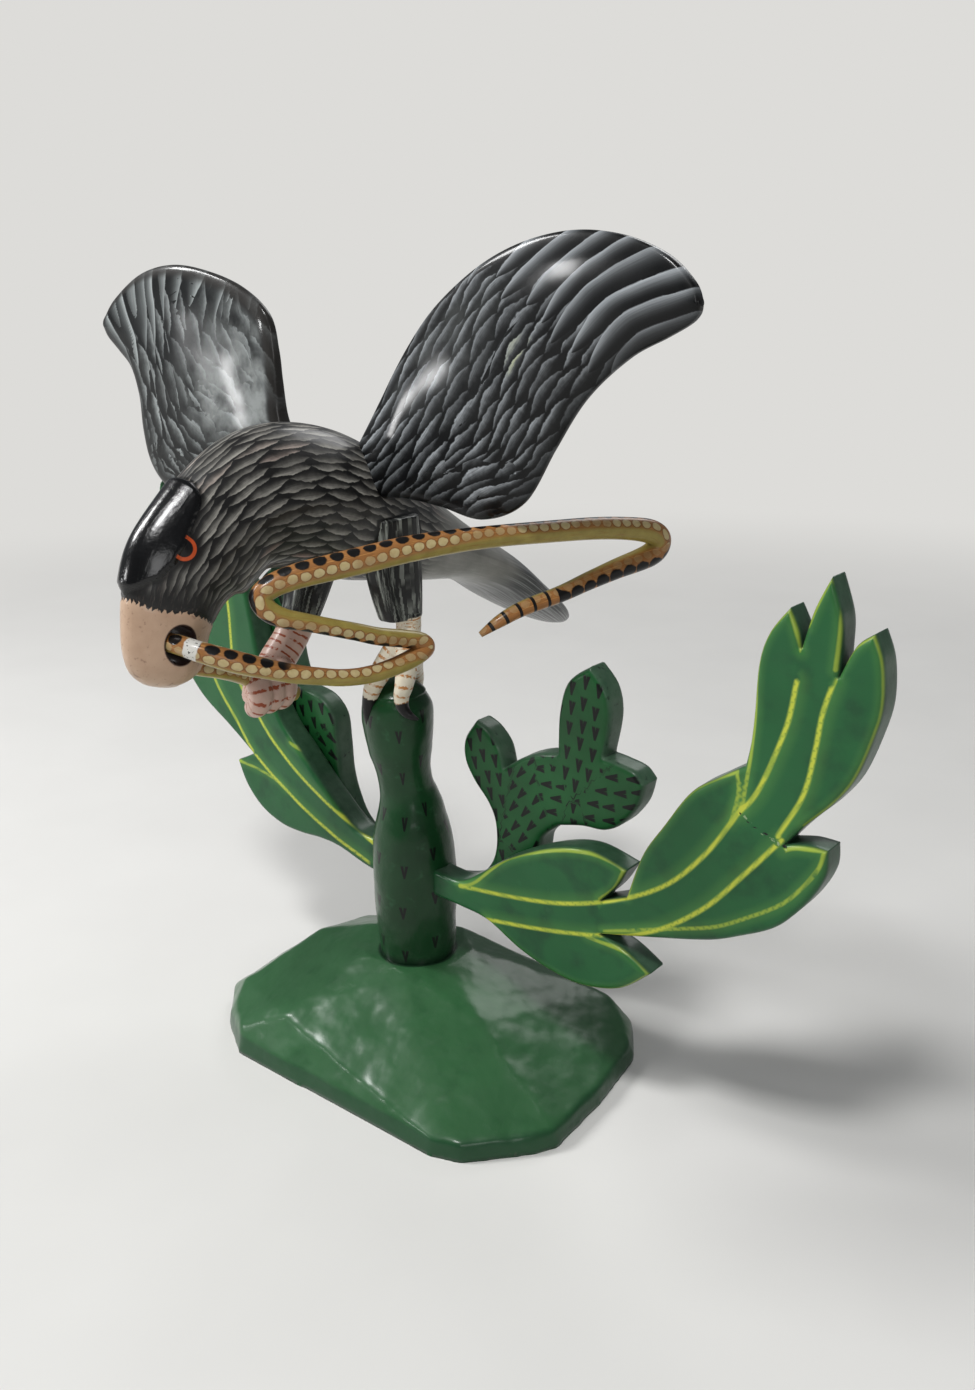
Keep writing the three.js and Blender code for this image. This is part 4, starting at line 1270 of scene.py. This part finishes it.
def trunk_paint():
    """Deep green with small black spines pointing down and a dark line of painted shade at the foot.
    """
    p = Paint("trunk_paint")
    height = p.value("height")
    green = p.mix(p.cloud(22, 3), "#154522", "#0a2a13")
    green = p.mix(p.cloud(6, 4).between(0.6, 0.8) * 0.3, green, "#356b47")
    spines = spine_marks(p, height, p.angle("turn") * TRUNK_R, *TRUNK_SPINES)
    colour = p.mix(spines, green, "#020403")
    # painted shade: a dark band at the trunk's foot where it meets the mound
    colour = p.mix(height.between(MOUND_TOP + 5, MOUND_TOP + 0.5) * 0.7, colour, "#0a1a10")
    return p.done(colour, 0.33 + p.cloud(7) * 0.1, p.uneven(6, 0.6, 1.5, 0.15), 0.4, 0.5, 0.16)


def mound_paint():
    """Glossy brushed green over the softened facets, a little worn on ridges and rim."""
    p = Paint("mound_paint")
    height = p.axis(2)
    green = p.mix(p.cloud(35, 3), "#335f3b", "#284e2f")
    green = p.mix(p.cloud(9, 4).between(0.5, 0.8) * 0.4, green, "#1a4526")
    ridge = (p.value("ridge") * (0.5 + p.cloud(6) * 0.8)).between(0.35, 1.3)
    green = p.mix(ridge * 0.5, green, "#557f5b")
    rim = (height + (p.cloud(8) - 0.5) * 2).between(MOUND_RIM + 1.5, MOUND_RIM - 1)
    green = p.mix(rim * 0.55, green, "#0d3320")
    chip = p.cloud(4, 4).between(0.66, 0.75) * height.between(6, 1)
    green = p.mix(chip * 0.7, green, "#3f4a3c")
    # painted shade: a dark ring on the mound round the trunk's foot
    green = p.mix(p.value("trunk_gap").between(1.6, 0.2) * 0.85, green, "#0b1d12")
    relief = p.cloud(14) + p.cloud(3.5, 3) * 0.15
    return p.done(green, 0.3 + p.cloud(8) * 0.12, relief, 0.5, 0.5, 0.2)


def snake_paint():
    """Orange-tan with black ovals on the back, ringed cream spots beside, an olive belly."""
    p = Paint("snake_paint")
    u = p.value("along")
    turn = p.angle("back")
    side = turn.math("SIGN")
    girth = p.value("girth")
    tail = p.value("tail")
    across = turn.abs() * girth
    streak = p.cloud(1, 3, at=p.point(u * 0.08, across * 1.6))
    olive = p.mix(p.cloud(5, 3), "#a6974f", "#7c6b36")
    olive = p.mix(streak.between(0.5, 0.75) * 0.6, olive, "#8a5e2c")
    tan = p.mix(p.cloud(4, 3), "#a3713f", "#83562f")
    tan = p.mix(streak.between(0.55, 0.7) * 0.6, tan, "#d49a58")
    colour = p.mix(turn.abs().between(1.25, 1.75), tan, olive)
    # ringed cream spots along each flank
    cell, ahead = (u / SPOT_PITCH + side * 0.13).cells()
    x = ahead * SPOT_PITCH
    y = across - girth * 1.02 + (p.chance(cell, side) - 0.5) * 0.7
    far = (x * x * 0.9 + y * y * 1.25).math("SQRT") + (p.cloud(2) - 0.5) * 0.8
    shown = (p.cloud(24, 1).between(0.36, 0.5) * 0.45 + 0.45) * (1 - tail * 0.75)
    colour = p.mix(far.between(2.85, 2.35) * shown * 0.8, colour, "#6e4526")
    cream = p.mix(p.cloud(2, 3), "#cfc196", "#ab9763")
    colour = p.mix(far.between(2.35, 1.9) * shown, colour, cream)
    # black ovals down the back, larger on the tail and thin bands at its tip
    cell, ahead = (u / OVAL_PITCH).cells()
    tip = u.between(*TIP)
    wide = 2.3 + p.chance(cell, 7.0) * 0.7 + tail * 0.7 + tip * 14
    long = 2.9 + tail * 0.8 - tip * 2.9
    far = ((ahead * OVAL_PITCH / long) ** 2.0 + (across / wide) ** 2.0).math("SQRT")
    far = far + (p.cloud(1.6) - 0.5) * 0.3
    bare = u.between(*BARE_FROM) * u.between(*BARE_TO)
    colour = p.mix(far.between(1.12, 0.9) * (1 - bare), colour, "#0d0b0a")
    # the pale, specked collar where the snake leaves the beak
    collar = p.value("collar") + (p.cloud(2) - 0.5) * 1.2
    speck = p.cloud(1.1).between(0.58, 0.66) * collar.between(2.4, 1.6)
    colour = p.mix(collar.between(3.0, 2.4), colour, "#cfcdc6")
    colour = p.mix(speck, colour, "#1a1613")
    return p.done(colour, 0.33 + p.cloud(4) * 0.1, p.uneven(2, 0.4, 0.6, 0.12), 0.25, 0.45, 0.15)


def floor_paint():
    """Pale matt studio floor with the slightest mottling, which melts into the backdrop."""
    p = Paint("studio_floor")
    colour = p.mix(p.cloud(120, 3), "#cfcecb", "#d8d7d4")
    matt = p.add("ShaderNodeBsdfDiffuse", {"Color": colour})
    far = p.add("ShaderNodeEmission", {"Color": BACKDROP})
    away = p.add("ShaderNodeVectorMath", {0: p.place}, out=1, operation="LENGTH")
    blend = {0: away.between(*FLOOR_FADE), 1: matt, 2: far}
    return p.output(p.add("ShaderNodeMixShader", blend))


# Put the pieces together

def place(piece, node, material, slot):
    """The finished piece takes the place of a node on the root body."""
    piece.data.materials.clear()
    piece.data.materials.append(material)
    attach(piece, "root")
    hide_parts(node)


place(eagle_body(), "eagle_body", body_paint(), "body_paint")
near = wing("painted_wing_near", WING_NEAR, NEAR_FLOW, NEAR_FLIGHT, *NEAR_START, 1)
place(near, "wing_near", wing_paint("wing_near_paint", "#050607", "#a6abaf", 0.15, 4.3), "wing_paint")
far = wing("painted_wing_far", WING_FAR, FAR_FLOW, FAR_FLIGHT, *FAR_START, -1)
place(far, "wing_far", wing_paint("wing_far_paint", "#0c0e0f", "#a2a8a8", 1.2, 7.5), "wing_paint")

leg_near = leg("painted_leg_near", THIGH_NEAR, NEAR_FOOT)
pale_skin = leg_paint("leg_near_paint", ("#d9d3c4", "#bfb49b"), "#a8733f", 1)
place(leg_near, "leg_near", pale_skin, "leg_paint")
clenched = [FAR_SHANK, FAR_PALM] + [far_toe(y) for y in FAR_TOES]
leg_far = leg("painted_leg_far", THIGH_FAR, clenched)
pink_skin = leg_paint("leg_far_paint", ("#cbb0a2", "#b08d80"), "#8f4329", 0)
place(leg_far, "leg_far", pink_skin, "leg_paint")

leaves = leaf_paint()
spray_right = spray("painted_spray_right", SPRAY_RIGHT, RIGHT_VEINS, RIGHT_EDGES, RIGHT_CRACK, 1)
place(spray_right, "leaf_spray_right", leaves, "leaf_paint")
spray_left = spray("painted_spray_left", SPRAY_LEFT, LEFT_VEINS, LEFT_EDGES, [], 2)
place(spray_left, "leaf_spray_left", leaves, "leaf_paint")

pads = nopal_paint()
nopal_right = nopal("painted_nopal_right", NOPAL_RIGHT, PADS_RIGHT, 3)
place(nopal_right, "nopal_branch_right", pads, "nopal_paint")
nopal_left = nopal("painted_nopal_left", NOPAL_LEFT, PADS_LEFT, 4)
place(nopal_left, "nopal_branch_left", pads, "nopal_paint")

place(trunk(), "cactus_trunk", trunk_paint(), "trunk_paint")
place(mound(), "base_mound", mound_paint(), "mound_paint")
place(snake(), "snake", snake_paint(), "snake_paint")


# The studio: floor, camera, soft light from above and the left, and the backdrop

def studio_floor():
    bpy.ops.mesh.primitive_circle_add(vertices=96, radius=FLOOR_R, fill_type="NGON")
    floor = bpy.context.object
    floor.name = "studio_floor"
    floor.data.materials.append(floor_paint())


def studio_camera():
    """The camera as the photograph was taken."""
    camera = put("camera", bpy.data.cameras.new("camera"))
    turned = Matrix((RIGHT, UP, -FORWARD)).transposed().to_4x4()
    camera.matrix_world = Matrix.Translation(CAMERA) @ turned
    camera.data.lens = FOCAL / FRAME_HEIGHT * SENSOR
    camera.data.sensor_width = SENSOR
    camera.data.shift_y = -DROP / FRAME_HEIGHT
    camera.data.clip_start = 0.01
    bpy.context.scene.camera = camera


def lamp(name, at, power, size):
    """A soft rectangular lamp turned to the point that all of them face."""
    light = bpy.data.lights.new(name, "AREA")
    light.energy = power
    light.shape = "RECTANGLE"
    light.size, light.size_y = size
    holder = put(name, light)
    holder.location = at
    holder.rotation_euler = (LIT_POINT - holder.location).to_track_quat("-Z", "Y").to_euler()


def studio_world():
    """A pale backdrop that the camera sees, and a dimmer sky that lights the object."""
    world = bpy.data.worlds.new("studio_world")
    world.use_nodes = True
    tree = world.node_tree
    seen = tree.nodes["Background"]
    seen.inputs["Color"].default_value = ink(BACKDROP)
    sky = tree.nodes.new("ShaderNodeBackground")
    sky.inputs["Color"].default_value = SKY
    sky.inputs["Strength"].default_value = SKY_STRENGTH
    path = tree.nodes.new("ShaderNodeLightPath")
    mix = tree.nodes.new("ShaderNodeMixShader")
    tree.links.new(path.outputs["Is Camera Ray"], mix.inputs[0])
    tree.links.new(sky.outputs[0], mix.inputs[1])
    tree.links.new(seen.outputs[0], mix.inputs[2])
    tree.links.new(mix.outputs[0], tree.nodes["World Output"].inputs["Surface"])
    bpy.context.scene.world = world


studio_floor()
studio_camera()
for lamp_name, settings in LAMPS.items():
    lamp(lamp_name, *settings)
studio_world()
bpy.context.scene.view_settings.view_transform = "Standard"
